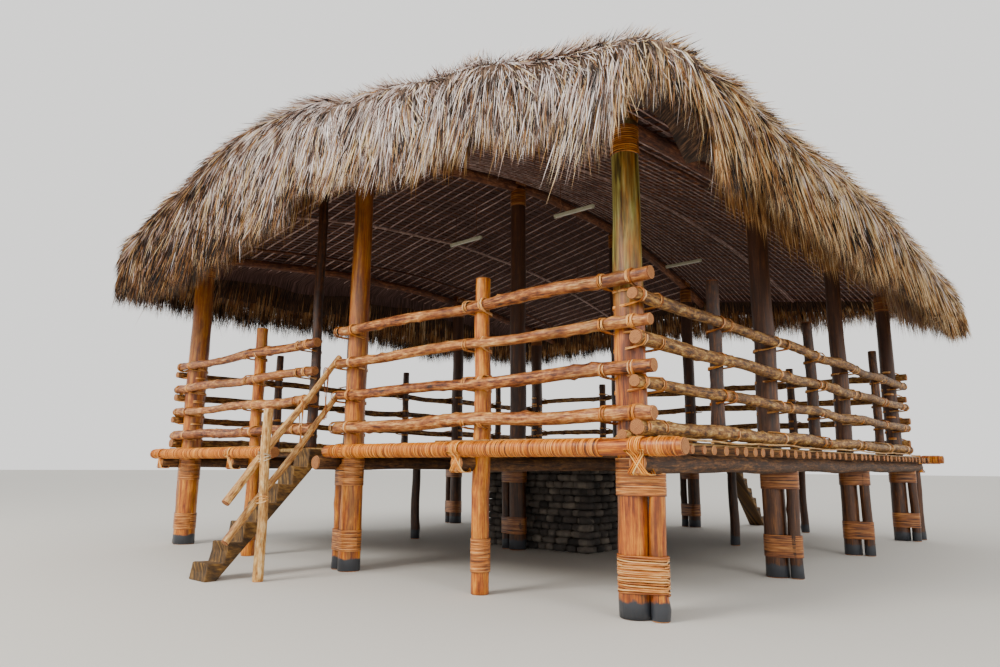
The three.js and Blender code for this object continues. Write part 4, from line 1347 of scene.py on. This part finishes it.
battens = {
    "radii": [0.01, 0.01], "spacing": 0.14, "from": 0.1, "end": 6.6, "reach": 6.9, "above": 0.056,
    "under": -0.008, "logGap": 0.12, "reed": (1.1, 5, 0.006, 0.0),
}


def ridgeHeight(y):
    return roof["ridgeCrown"] - roof["ridgeDrop"] * (y / rowY[3]) ** 2


def plateHeight(side, y):
    return roof[side]["crown"] - roof[side]["drop"] * (y / rowY[3]) ** 2


# Height of the line that the rafters lie on
def rafterLine(x, y):
    ridgeX = roof["ridgeX"]
    isRight = x > ridgeX
    share = (x - ridgeX) / np.where(isRight, roof["right"]["x"] - ridgeX, roof["left"]["x"] - ridgeX)
    low = np.where(isRight, plateHeight("right", y), plateHeight("left", y)) + roof["onPlate"]
    top = ridgeHeight(y) + roof["onRidge"]
    return top + (low - top) * share


def archedLine(x, heightAt, reach, count=13):
    return [(x, y, float(heightAt(y))) for y in np.linspace(-reach, reach, count)]


def makeRoofLogs():
    line = archedLine(roof["ridgeX"], ridgeHeight, roof["reach"])
    ridge = logPart(line, [roof["ridgeRadius"]] * 2, *roof["ridge"])
    buildPiece("log_ridge", [ridge], ["roof", "cut"], ["ridge_log"])
    for side in ("right", "left"):
        line = archedLine(roof[side]["x"], lambda y: plateHeight(side, y), roof["reach"])
        plate = logPart(line, [roof["plateRadius"]] * 2, *roof["plate"])
        buildPiece(f"log_{side}_side_plate", [plate], ["roof", "cut"], [f"{side}_side_plate"])
    print("roof logs ready")


def rafterPoles(sign, slot):
    parts = []
    for y in np.arange(-rafters["reachY"], rafters["reachY"] + 0.01, rafters["spacing"]):
        y = y + dice.uniform(-rafters["uneven"], rafters["uneven"])
        end = rafters["end"] - dice.uniform(0, rafters["endUneven"])
        ends = [roof["ridgeX"] + sign * rafters["ridgeGap"], sign * end]
        size = rafters["radius"] * dice.uniform(*rafters["vary"])
        pole = logPart([(x, y, float(rafterLine(x, y)) + rafters["radius"]) for x in ends],
                       [size * taper for taper in rafters["tapers"]], *rafters["pole"])
        paintSkin(pole, slot)
        parts.append(pole)
    return parts


def purlinLogs(side):
    parts = []
    for share, slot in purlins["rows"]:
        x = roof["ridgeX"] + (roof[side]["x"] - roof["ridgeX"]) * share
        line = archedLine(x, lambda y: rafterLine(x, y) - purlins["drop"], purlins["reach"])
        purlin = logPart(line, purlins["radii"], *purlins["log"])
        paintSkin(purlin, slot)
        parts.append(purlin)
    return parts


# Reeds across the rafters; where goesUnder, they hang below them but for a gap beside the logs
def reedBattens(side, sign, slot, goesUnder):
    parts = []
    first = roof["ridgeX"] + sign * battens["from"]
    for x in np.arange(first, sign * battens["end"], sign * battens["spacing"]):
        isClear = min(abs(x - place) for place in (roof["ridgeX"], roof[side]["x"])) > battens["logGap"]
        lift = battens["under"] if goesUnder and isClear else battens["above"]
        line = archedLine(x, lambda y: rafterLine(x, y) + lift, battens["reach"])
        reed = logPart(line, battens["radii"], *battens["reed"])
        paintAll(reed, slot)
        parts.append(reed)
    return parts


# On the right slope pale reeds show below dark rafters, on the left one pale rafters below dark reeds
def makeRafters():
    for side, sign, rafterSlot, reedSlot in (("right", 1, 2, 0), ("left", -1, 0, 2)):
        parts = rafterPoles(sign, rafterSlot) + purlinLogs(side)
        parts += reedBattens(side, sign, reedSlot, side == "right")
        buildPiece(f"rafter_poles_{side}", parts, ["rafter", "cut", "roof"], [f"rafters_{side}"])
    print("rafters ready")


# Lamps: battens with a tube, hung on two rods
lamps = {
    "size": (0.96, 0.07, 0.05), "bevel": 0.008, "lift": 0.03, "raised": 0.006,
    "tubeRadius": 0.014, "tubeReach": 0.45, "tubeDrop": 0.03, "capRadius": 0.02, "capReach": (0.44, 0.475),
    "rodReach": 0.32, "rodRadius": 0.006, "rodFoot": 0.02,
}


def lampRod(line, radius, spacing, sides, slot):
    rod = logPart(line, [radius, radius], spacing, sides, 0, 0)
    paintAll(rod, slot)
    return rod


def makeLamps():
    block = blockBlank(lamps["size"], lamps["bevel"], 2)
    for name in ("front_right", "front_left", "back_right", "back_left"):
        low, high = nodeBox("lamp_" + name)
        x, y, z = (low[0] + high[0]) / 2, (low[1] + high[1]) / 2, low[2] + lamps["lift"]
        tubeZ = z - lamps["tubeDrop"]
        parts = [blankPart(block, block["verts"] + [x, y, z + lamps["raised"]],
                           block["verts"][block["loops"]][:, :2], 0.5),
                 lampRod([(x + sign * lamps["tubeReach"], y, tubeZ) for sign in (-1, 1)], lamps["tubeRadius"],
                         0.9, 14, 1)]
        for sign in (-1, 1):
            parts.append(lampRod([(x + sign * reach, y, tubeZ) for reach in lamps["capReach"]],
                                 lamps["capRadius"], 0.05, 12, 0))
            rodX = x + sign * lamps["rodReach"]
            parts.append(lampRod([(rodX, y, z + lamps["rodFoot"]), (rodX, y, float(rafterLine(rodX, y)))],
                                 lamps["rodRadius"], 0.5, 8, 2))
        buildPiece("batten_lamp_" + name, parts, ["lampShell", "lampTube", "roof"], ["lamp_" + name])
    print("lamps ready")


# Thatch: the straw's outer surface, with its waves, tufts and the fringe's height along each eave
thatch = {
    "crown": 8.42, "crownX": -0.9, "endDrop": 0.92, "eaveX": 6.93, "eaveY": 7.43, "capX": 0.06, "capY": 3.0,
    "right": {"middle": 2.4, "end": 1.9, "curve": 1.15, "edge": 6.95},
    "left": {"middle": 2.15, "end": 1.75, "curve": 1.6, "edge": -6.95}, "endY": 7.45,
    "waves": [(0.06, 1.1, 0.7, 1), (0.05, -1.3, 2.3, 3.14), (0.025, 3.9, 2.9, 0), (0.02, -3.1, 5.3, 2)],
    "tufts": [(6.5, -6.95, 0.85, 0.36), (-1.7, -6.3, 1.5, -0.15), (-0.8, -7.1, 0.7, -0.16)],
    "front": [(-6.9, 4.95), (-6.4, 4.92), (-4.6, 4.63), (-3.1, 4.55), (-1.8, 4.75), (-0.9, 4.91), (0.3, 4.98),
              (0.65, 5.45), (1.4, 5.31), (1.9, 5.21), (2.4, 5.4), (2.7, 4.9), (3.0, 5.13), (3.55, 4.95),
              (4.0, 5.18), (4.5, 5.03), (5.05, 4.78), (5.35, 4.8), (5.65, 4.64), (5.9, 4.42), (6.0, 4.5),
              (6.1, 4.7), (6.2, 5.03), (6.3, 5.19), (6.5, 5.13), (6.6, 5.05), (6.9, 4.95)],
    "rightSide": [(-7.4, 5.1), (-6.95, 5.05), (-6.8, 4.94), (-6.7, 4.86), (-6.6, 4.67), (-6.5, 4.31),
                  (-6.4, 4.13), (-6.3, 4.15), (-6.1, 4.37), (-5.9, 4.48), (-5.45, 4.3), (-4.75, 4.26),
                  (-4.0, 4.32), (-3.3, 4.22), (-2.4, 4.25), (-1.5, 4.24), (-0.3, 4.38), (1.5, 4.42),
                  (3.4, 4.05), (5.1, 4.28), (6.4, 4.55), (7.3, 4.9)],
    "leftSide": [(-7.3, 4.95), (-4, 4.8), (-1, 4.95), (2, 4.75), (4.5, 4.95), (7.3, 5.05)],
    "back": [(-6.9, 5.05), (-4, 5.2), (-1, 5.35), (2, 5.2), (5, 5.25), (6.9, 4.9)],
    "cornerBlend": 1.2, "squareness": 12, "rim": 0.93, "hangCurve": 1.15, "bulgeBy": 2.6, "inset": 0.05,
    "around": 360, "flatRows": 34, "hangRows": 38,
}

# The core under the strands: how far it lies inside them, and the steps of the wall behind the fringe
straw = {
    "step": 2, "inset": 0.04, "bottom": 14, "scale": 0.945, "clear": 0.09, "least": 0.12,
    "wall": (0.35, 0.7, 1.0), "wallLean": 0.1, "wallOut": 0.022, "ridgeInset": 0.03, "tone": 0.3,
}

# Strands: shape of a blade, number of tufts, strands in each, and widths
strands = {
    "shoulder": 0.45, "lift": (0.003, 0.016), "vary": (0.6, 1.6), "inner": 6000, "innerWidth": (0.02, 0.04),
    "cover": {"tufts": 11900, "each": 8, "width": 0.0098},
    "fringe": {"tufts": 4700, "each": 7, "width": 0.0092},
    "openX": 4.9, "openY": -5.1, "near": (6.0, -6.6), "nearReach": 9.0, "finer": 0.3, "denser": 0.7,
    "frontDenser": 0.45,
}


def thatchWave(x, y):
    height = 0
    for rise, alongX, alongY, start in thatch["waves"]:
        height = height + rise * np.sin(alongX * x + alongY * y + start)
    for tuftX, tuftY, reach, rise in thatch["tufts"]:
        height = height + rise * np.exp(-((x - tuftX) ** 2 + (y - tuftY) ** 2) / reach ** 2)
    return height


def roofTop(x, y):
    isRight = x > thatch["crownX"]
    edge, middle, ends, curve = (np.where(isRight, thatch["right"][key], thatch["left"][key])
                                 for key in ("edge", "middle", "end", "curve"))
    share = np.abs(x - thatch["crownX"]) / np.abs(edge - thatch["crownX"])
    end = np.minimum(np.abs(y) / thatch["endY"], 1) ** 2
    plain = thatch["crown"] - thatch["endDrop"] * end - (middle + (ends - middle) * end) * share ** curve
    return plain + thatchWave(x, y)


# Eave outline: a rounded rectangle, even steps round it from the middle of the front
def eaveLine(count):
    angle = np.linspace(-math.pi / 2, 1.5 * math.pi, 6001)
    power = 2 / thatch["squareness"]
    x = thatch["eaveX"] * np.sign(np.cos(angle)) * np.abs(np.cos(angle)) ** power
    y = thatch["eaveY"] * np.sign(np.sin(angle)) * np.abs(np.sin(angle)) ** power
    run = runAlong(np.stack([x, y], axis=1))
    places = np.arange(count) / count * run[-1]
    return np.interp(places, run, x), np.interp(places, run, y), run[-1]


# Height of the fringe's lower end, from the table of the eave that a place is nearest to
def fringeLine(x, y):
    front, back = (np.interp(x, *np.array(thatch[key]).T) for key in ("front", "back"))
    right, left = (np.interp(y, *np.array(thatch[key]).T) for key in ("rightSide", "leftSide"))
    ends, sides = np.where(y < 0, front, back), np.where(x < 0, left, right)
    past = np.abs(y) - np.abs(x) * thatch["eaveY"] / thatch["eaveX"]
    return sides + (ends - sides) * np.clip(past * thatch["cornerBlend"] + 0.5, 0, 1)


# Points of the surface, round the eave and from the ridge down to the end of the fringe
def thatchGrid():
    eaveX, eaveY, perimeter = eaveLine(thatch["around"])
    ridgeX = roof["ridgeX"] + thatch["capX"] * eaveX / thatch["eaveX"]
    ridgeY = eaveY * thatch["capY"] / thatch["eaveY"]
    rim, flat, hang = thatch["rim"], thatch["flatRows"], thatch["hangRows"]
    drop = np.concatenate([np.zeros(flat), np.linspace(0, 1, hang + 1)[1:]])
    bulge = (1 - rim) * np.sin(np.minimum(drop * thatch["bulgeBy"], 1) * math.pi / 2)
    reach = np.concatenate([np.linspace(0, rim, flat), rim + bulge[flat:]])
    x = ridgeX[:, None] + (eaveX - ridgeX)[:, None] * reach[None, :]
    y = ridgeY[:, None] + (eaveY - ridgeY)[:, None] * reach[None, :]
    top = roofTop(ridgeX + (eaveX - ridgeX) * rim, ridgeY + (eaveY - ridgeY) * rim)[:, None]
    fringe = fringeLine(eaveX, eaveY)[:, None]
    z = np.where(drop[None, :] > 0, top + (fringe - top) * drop[None, :] ** thatch["hangCurve"], roofTop(x, y))
    z = z - thatch["inset"] * (1 - drop)[None, :]
    return np.stack([x, y, z], axis=2), perimeter


def unitRows(vectors):
    return vectors / (np.linalg.norm(vectors, axis=-1, keepdims=True) + 1e-9)


def gridNormals(grid):
    around = np.roll(grid, -1, axis=0) - np.roll(grid, 1, axis=0)
    return unitRows(np.cross(np.gradient(grid, axis=1), around))


# Reads the thatch surface at a turn round it, 0 to 1, and a distance down it in metres
class ThatchSurface:
    def __init__(self):
        self.grid, self.perimeter = thatchGrid()
        self.normals = gridNormals(self.grid)
        steps = np.linalg.norm(np.diff(self.grid, axis=1), axis=2)
        self.arc = np.concatenate([np.zeros((len(self.grid), 1)), np.cumsum(steps, axis=1)], axis=1)
        self.fraction = np.linspace(0, 1, 160)
        self.even = np.stack([self.sampleRow(i, self.grid) for i in range(len(self.grid))])
        self.evenNormals = np.stack([self.sampleRow(i, self.normals) for i in range(len(self.grid))])
        self.length = self.arc[:, -1]
        self.cells = np.linalg.norm(np.roll(self.even, -1, axis=0) - self.even, axis=2)
        self.spread = np.maximum(self.cells * len(self.length), 5.0)[:, :, None]

    def sampleRow(self, i, source):
        places = self.fraction * self.arc[i, -1]
        return np.stack([np.interp(places, self.arc[i], source[i, :, axis]) for axis in range(3)], axis=1)

    def cell(self, turn):
        place = (turn % 1.0) * len(self.length)
        index = place.astype(int) % len(self.length)
        return index, (index + 1) % len(self.length), place - np.floor(place)

    def lengthAt(self, turn):
        index, after, share = self.cell(turn)
        return self.length[index] * (1 - share) + self.length[after] * share

    def read(self, source, turn, distance):
        index, after, share = self.cell(turn)
        row = np.clip(distance / self.lengthAt(turn), 0, 1) * (len(self.fraction) - 1)
        low = np.minimum(row.astype(int), len(self.fraction) - 2)
        rest = (row - low)[:, None]
        first = source[index, low] * (1 - rest) + source[index, low + 1] * rest
        second = source[after, low] * (1 - rest) + source[after, low + 1] * rest
        return first * (1 - share[:, None]) + second * share[:, None]

    # Past the fringe a point hangs straight down, and before the ridge it runs over to the other slope
    def place(self, turn, distance):
        point = self.read(self.even, turn, distance)
        point[:, 2] -= np.maximum(distance - self.lengthAt(turn), 0)
        ahead = self.read(self.even, turn, np.full(len(turn), 0.25)) - self.read(self.even, turn, 0 * turn)
        point += unitRows(ahead) * np.minimum(distance, 0)[:, None] * [1, 1, 0.3]
        return point

    def normal(self, turn, distance):
        return unitRows(self.read(self.evenNormals, turn, distance))


# Each strand is a closed blade with four corners: root, two shoulders and tip
def strandPart(spines, outward, widths, tones):
    count, shoulderAt = len(spines), strands["shoulder"]
    root, tip = spines[:, 0], spines[:, 2]
    ahead = tip - root
    across = unitRows(np.cross(ahead, outward))
    half = across * (widths / 2)[:, None]
    above = unitRows(np.cross(across, ahead))
    shoulder = root + ahead * shoulderAt
    rise = np.sum((spines[:, 1] - shoulder) * above, axis=1)
    shoulder = shoulder + above * np.clip(rise, *strands["lift"])[:, None]
    corners = np.stack([root, shoulder - half, shoulder + half, tip], axis=1)
    faces = np.array([[0, 1, 2], [3, 2, 1], [0, 3, 1], [0, 2, 3]])
    facing = np.cross(corners[:, 1] - corners[:, 0], corners[:, 2] - corners[:, 0])
    isInward = np.sum(facing * (corners[:, 3] - corners[:, 0]), axis=1) > 0
    order = np.where(isInward[:, None, None], faces[None, :, ::-1], faces[None, :, :])
    loops = (np.arange(count)[:, None, None] * 4 + order).ravel()
    along, aside = np.array([0.0, shoulderAt, shoulderAt, 1.0]), np.array([0.5, 0.0, 1.0, 0.5])
    uv = np.stack([aside[loops % 4] + loops // 4, along[loops % 4]], axis=1)
    return makePart(corners.reshape(-1, 3), loops, np.full(count * 4, 3), uv, np.repeat(tones, 4), 0, False)


# 1 at the near corner, where the photograph is closest, and nothing some metres away
def nearCorner(x, y):
    return np.exp(-((x - strands["near"][0]) ** 2 + (y - strands["near"][1]) ** 2) / strands["nearReach"])


# Random places on the surface above the fringe's lower end, denser at the front and the near corner
def sampleSurface(surface, count, lowest):
    rows = len(surface.fraction)
    front = np.clip(-surface.even[:, :, 1] / 4 - 0.5, 0, 1)
    corner = nearCorner(surface.even[:, :, 0], surface.even[:, :, 1])
    weight = (surface.cells + 0.004) * (surface.length / (rows - 1))[:, None]
    weight = weight * (1 + strands["frontDenser"] * front + strands["denser"] * corner)
    weight = (weight * (surface.fraction[None, :] <= lowest)).ravel()
    picked = dice.choice(len(weight), count, p=weight / weight.sum())
    turn = (picked // rows + dice.uniform(0, 1, count)) / len(surface.length)
    share = np.clip((picked % rows + dice.uniform(-0.5, 0.5, count)) / (rows - 1), 0, 1)
    return turn, share * surface.lengthAt(turn)


# Tone of the straw: silvery on top, golden where it hangs and on the right and left slopes
strawTones = {
    "silver": 0.98, "right": -0.1, "left": -0.5, "hang": -0.5, "streak": -0.06, "vary": 0.22,
    "darkShare": 0.38, "dark": -0.64, "gold": {"least": 0.08, "hang": 0.75, "right": 0.6, "left": 0.5},
    "rightFrom": (4.4, 1.8), "rightBack": (-7.6, 1.4), "leftFrom": (1.0, 4.2),
}


def strawTone(points, hang):
    count, x, y, gold = len(points), points[:, 0], points[:, 1], strawTones["gold"]
    (edgeX, blendX), (edgeY, blendY) = strawTones["rightFrom"], strawTones["rightBack"]
    right = np.clip((x - edgeX) / blendX, 0, 1) * np.clip((y - edgeY) / blendY, 0, 1)
    left = np.clip((strawTones["leftFrom"][0] - x) / strawTones["leftFrom"][1], 0, 1)
    streak = np.sin(1.7 * x + 2.1 * y) * np.sin(1.1 * y - 0.6)
    tone = strawTones["silver"] + strawTones["right"] * right + strawTones["left"] * left
    tone = tone + strawTones["hang"] * hang ** 2 + strawTones["streak"] * streak
    tone = tone + dice.normal(0, strawTones["vary"], count)
    tone = np.where(dice.uniform(0, 1, count) < strawTones["darkShare"], tone + strawTones["dark"], tone)
    share = gold["least"] + gold["hang"] * hang ** 2 + gold["right"] * right + gold["left"] * left
    isGold = dice.uniform(0, 1, count) < share
    return np.clip(tone, 0.02, 1.0) + strawLook["goldStep"] * isGold


# How the strands of a tuft spread: at the root, how much of it is left at the tip, stray, length, start
coverSpread = {"root": 0.09, "tip": 0.7, "stray": 0.11, "reach": (0.7, 1.25), "scatter": 0.16}
fringeSpread = {"root": 0.055, "tip": 0.7, "stray": 0.05, "reach": (0.6, 1.0), "scatter": 0.03}
strandShape = {
    "wildShare": 0.12, "wild": 2.2, "height": 0.02, "bend": 0.035, "loose": 0.05,
    "longShare": 0.03, "long": 0.25,
    "shortest": 0.12, "sunk": -0.035, "raised": 0.065, "curl": 0.7, "hangFrom": 1.3, "hangAt": 0.6,
}


# Strands of a tuft start side by side, lean together and draw in towards its tip
def tuftSpines(surface, tufts, each, root, tip, stray, reach, scatter):
    turn, distance, length, lean, lift, tone = [np.repeat(values, each) for values in tufts]
    count, shape = len(turn), strandShape
    across = dice.normal(0, root, count)
    distance = distance + dice.uniform(-scatter, scatter, count)
    length = length * dice.uniform(*reach, count)
    wander = dice.normal(0, stray, count)
    wander = wander * np.where(dice.uniform(0, 1, count) < shape["wildShare"], shape["wild"], 1.0)
    height = dice.normal(0, shape["height"], count)
    bend = dice.normal(0, shape["bend"], count)
    total = surface.lengthAt(turn)
    loose = dice.normal(0, shape["loose"], count)
    isLong = dice.uniform(0, 1, count) < shape["longShare"]
    loose = loose + np.where(isLong, dice.uniform(0, shape["long"], count), 0)
    length = np.clip(length, shape["shortest"], np.maximum(total + loose - distance, shape["shortest"] + 0.01))
    spines = []
    for step in (0.0, strands["shoulder"], 1.0):
        along = distance + length * step
        spread = surface.read(surface.spread, turn, np.minimum(along, total))[:, 0]
        sideways = (across * (1 - (1 - tip) * step) + (lean + wander) * length * step
                    + bend * math.sin(math.pi * step))
        at = turn + sideways / spread
        normal = surface.normal(at, np.minimum(along, total))
        raised = shape["sunk"] + (shape["raised"] + lift) * step ** shape["curl"] + height * step
        spines.append(surface.place(at, along) + normal * raised[:, None])
    spines = np.stack(spines, axis=1)
    hang = (distance + shape["hangAt"] * length - total) / shape["hangFrom"] + 1
    normal = surface.normal(turn, np.minimum(distance, total))
    return spines, normal, strawTone(spines[:, 1], np.clip(hang, 0, 1)) + tone


# Tufts as arrays of turn, distance, length, lean, lift and tone; ripples make them lean in groups
def coverTufts(surface, count):
    turn, distance = sampleSurface(surface, count, 0.93)
    distance = np.where(distance < 0.4, distance - 0.3, distance)  # roots of the other slope close the ridge
    length = dice.uniform(0.5, 1.0, count)
    lift = np.clip(dice.normal(0.035, 0.045, count), -0.03, 0.14)
    around = turn * 2 * math.pi
    ripple = 0.16 * np.sin(around * 23 + distance) + 0.12 * np.sin(around * 57 + 2.2 * distance)
    return turn, distance, length, ripple + dice.normal(0, 0.12, count), lift, dice.normal(0, 0.09, count)


def hangTufts(surface, count):
    turn = (np.arange(count) + dice.uniform(0, 1, count)) / count
    turn = dice.permutation(turn)
    around = turn * 2 * math.pi
    ripple = 0.05 * np.sin(around * 61) + 0.05 * np.sin(around * 143 + 1)
    end = surface.lengthAt(turn) + ripple - 0.06 + dice.normal(0, 0.05, count)
    length = dice.uniform(0.45, 1.1, count)
    layer = dice.choice([-0.24, -0.14, -0.06, 0.0], count)
    # painted shade: tufts of the deeper layers get a darker tone
    shade = np.clip(dice.normal(0, 0.08, count) + layer * 0.5, -0.3, 0.3)
    return turn, end - length, length, dice.normal(0, 0.07, count), layer, shade


# The core's section from the ridge over the slope, round the fringe and back under the rafters' reeds
def coreSection(surface):
    outer, flat = surface.grid[::straw["step"]], thatch["flatRows"]
    bottom = flat + thatch["hangRows"] - straw["bottom"]
    shell = outer[:, :bottom:2] - surface.normals[::straw["step"], :bottom:2] * straw["inset"]
    ridgeX = roof["ridgeX"]
    x = ridgeX + (outer[:, :flat:3, 0] - ridgeX) * straw["scale"]
    y = outer[:, :flat:3, 1] * straw["scale"]
    under = np.minimum(rafterLine(x, y) + straw["clear"], outer[:, :flat:3, 2] - straw["least"])
    inner = np.stack([x, y, under], axis=2)
    edge, fringe = inner[:, -1], shell[:, -1]
    wall = []
    for share in straw["wall"]:
        point = edge + (fringe - edge) * [straw["wallLean"] * share, straw["wallLean"] * share, share]
        point[:, :2] = edge[:, :2] * (1 + straw["wallOut"] * share)
        wall.append(point)
    ridge, ridgeY = np.full(len(outer), ridgeX), outer[:, 0, 1]
    lowY = ridgeY * straw["scale"]
    top = np.stack([ridge, ridgeY, roofTop(ridge, ridgeY) - thatch["inset"] - straw["ridgeInset"]], axis=1)
    low = np.stack([ridge, lowY, rafterLine(ridge, lowY) + straw["clear"]], axis=1)
    rings = [top[:, None], shell, np.stack(wall, axis=1)[:, ::-1], inner[:, ::-1], low[:, None]]
    return np.concatenate(rings, axis=1), shell.shape[1], edge


def makeThatchCore(surface):
    section, wallFrom, edge = coreSection(surface)
    count, width = section.shape[:2]
    spot = np.arange(width - 1)[None, :]
    index = np.arange(count)[:, None] * width + spot
    after = ((np.arange(count)[:, None] + 1) % count) * width + spot
    faces = np.stack([index, index + 1, after + 1, after], axis=2).reshape(-1, 4)
    steps = np.linalg.norm(np.diff(section, axis=1), axis=2)
    run = np.concatenate([np.zeros((count, 1)), np.cumsum(steps, axis=1)], axis=1)
    nextRun = np.roll(run, -1, axis=0)
    around = np.repeat(np.arange(count + 1)[:, None] * surface.perimeter / count, width - 1, 1)
    here, there = around[:-1], around[1:]
    corners = [(here, run[:, :-1]), (here, run[:, 1:]), (there, nextRun[:, 1:]), (there, nextRun[:, :-1])]
    uv = np.stack([np.stack(corner, axis=2) for corner in corners], axis=2).reshape(-1, 2)
    column = np.tile(np.arange(width - 1), count)
    isUnder = column >= wallFrom + len(straw["wall"])
    slots = (column >= wallFrom).astype(int) + isUnder
    part = makePart(section.reshape(-1, 3), faces.ravel(), np.full(len(faces), 4), uv, straw["tone"], slots)
    core = buildPiece("straw_core", [part], ["strawCore", "shadedStrawWall", "strawUnder"],
                      ["thatch_right", "thatch_left", "thatch_front", "thatch_back", "thatch_ridge"])
    editAll(core)
    bpy.ops.mesh.remove_doubles(threshold=0.0005)
    bpy.ops.mesh.normals_make_consistent(inside=False)
    setMode("OBJECT")
    return edge


# Number of the side that each point lies on: front, back, right or left
def sideOf(points):
    x, y = points[:, 0] / thatch["eaveX"], points[:, 1] / thatch["eaveY"]
    return np.where(np.abs(y) > np.abs(x), np.where(y < 0, 0, 1), np.where(x > 0, 2, 3))


# The fringe seen from inside hangs from the core's inner edge, but for the open near corner
def innerSpines(edge, count):
    place = dice.uniform(0, len(edge), count)
    index = place.astype(int) % len(edge)
    share = (place - np.floor(place))[:, None]
    start = edge[index] * (1 - share) + edge[(index + 1) % len(edge)] * share
    start = start[(start[:, 0] < strands["openX"]) | (start[:, 1] > strands["openY"])]
    count = len(start)
    outward = start * [1.0, 1.0, 0.0]
    outward /= np.linalg.norm(outward, axis=1)[:, None]
    depth = 0.4 * dice.uniform(0.0, 1.0, count)
    x, y = start[:, 0] / straw["scale"], start[:, 1] / straw["scale"]
    bottom = fringeLine(x, y) + 0.26 + dice.normal(0, 0.08, count)
    top = start[:, 2] + dice.uniform(-0.35, 0.1, count)
    spines = []
    for step in (0.0, strands["shoulder"], 1.0):
        point = start + outward * (depth + 0.1 * step)[:, None]
        point[:, 2] = top + (bottom - top) * step
        point += dice.normal(0, 0.018 + 0.012 * step, (count, 3)) * [1, 1, 0]
        spines.append(point)
    return np.stack(spines, axis=1), -outward


def makeThatch():
    surface = ThatchSurface()
    edge = makeThatchCore(surface)
    cover, fringe = strands["cover"], strands["fringe"]
    coverSpines = tuftSpines(surface, coverTufts(surface, cover["tufts"]), cover["each"], **coverSpread)
    fringeSpines = tuftSpines(surface, hangTufts(surface, fringe["tufts"]), fringe["each"], **fringeSpread)
    layers = (("cover", cover, coverSpines), ("fringe", fringe, fringeSpines))
    for kind, look, (spines, outward, tones) in layers:
        middle = spines[:, 1]
        widths = look["width"] * dice.uniform(*strands["vary"], len(tones))
        widths = widths * (1 - strands["finer"] * nearCorner(middle[:, 0], middle[:, 1]))
        for number, name in enumerate(("front", "back", "right", "left")):
            chosen = sideOf(middle) == number
            part = strandPart(spines[chosen], outward[chosen], widths[chosen], tones[chosen])
            buildPiece(f"thatch_{kind}_{name}", [part], ["straw"])
    spines, inward = innerSpines(edge, strands["inner"])
    tones = np.clip(dice.normal(0.46, 0.14, len(spines)), 0.05, 0.8) + strawLook["goldStep"]
    part = strandPart(spines, inward, dice.uniform(*strands["innerWidth"], len(spines)), tones)
    buildPiece("thatch_inner_fringe", [part], ["straw"])
    print("thatch ready")


# Stage and lights of the studio
studio = {
    "floor": {"size": 400, "colour": "c9c6bf", "roughness": 0.9},
    "sky": {"colour": (1.0, 0.99, 0.97, 1), "strength": 1.35},
    "lights": {"keyLight": {"place": (-2, -27, 18), "aim": (0, -2, 4), "size": 9, "power": 6400,
                            "colour": (1.0, 0.96, 0.9)},
               "sideLight": {"place": (26, -12, 16), "aim": (2, 0, 5), "size": 10, "power": 2200,
                             "colour": (1.0, 0.97, 0.93)}},
}


def makeStage():
    look = studio["floor"]
    clearSelection()
    bpy.ops.mesh.primitive_plane_add(size=look["size"], location=(0, 0, 0))
    ground = bpy.context.object
    ground.name = "studioFloor"
    material, tree, shader = startMaterial("studioFloor", look["roughness"])
    shader.inputs["Base Color"].default_value = tint(look["colour"])
    ground.data.materials.append(material)


def addSoftLight(name, place, aim, size, power, colour):
    lamp = bpy.data.lights.new(name, "AREA")
    lamp.shape = "SQUARE"
    lamp.size = size
    lamp.energy = power
    lamp.color = colour
    light = bpy.data.objects.new(name, lamp)
    light.location = place
    light.rotation_euler = (Vector(aim) - Vector(place)).to_track_quat("-Z", "Y").to_euler()
    bpy.context.scene.collection.objects.link(light)


def makeLights():
    world = bpy.data.worlds.new("studio")
    world.use_nodes = True
    background = world.node_tree.nodes["Background"]
    background.inputs["Color"].default_value = studio["sky"]["colour"]
    background.inputs["Strength"].default_value = studio["sky"]["strength"]
    bpy.context.scene.world = world
    for name, look in studio["lights"].items():
        addSoftLight(name, **look)


makeColumns()
makeTrestles()
makeEdgeLogs()
makeRailings()
makeFloor()
makeHandrail()
makeStairs()
makeHearth()
makeBands()
makeRoofLogs()
makeRafters()
makeLamps()
makeThatch()
setCamera()
makeStage()
makeLights()
print("stage ready")
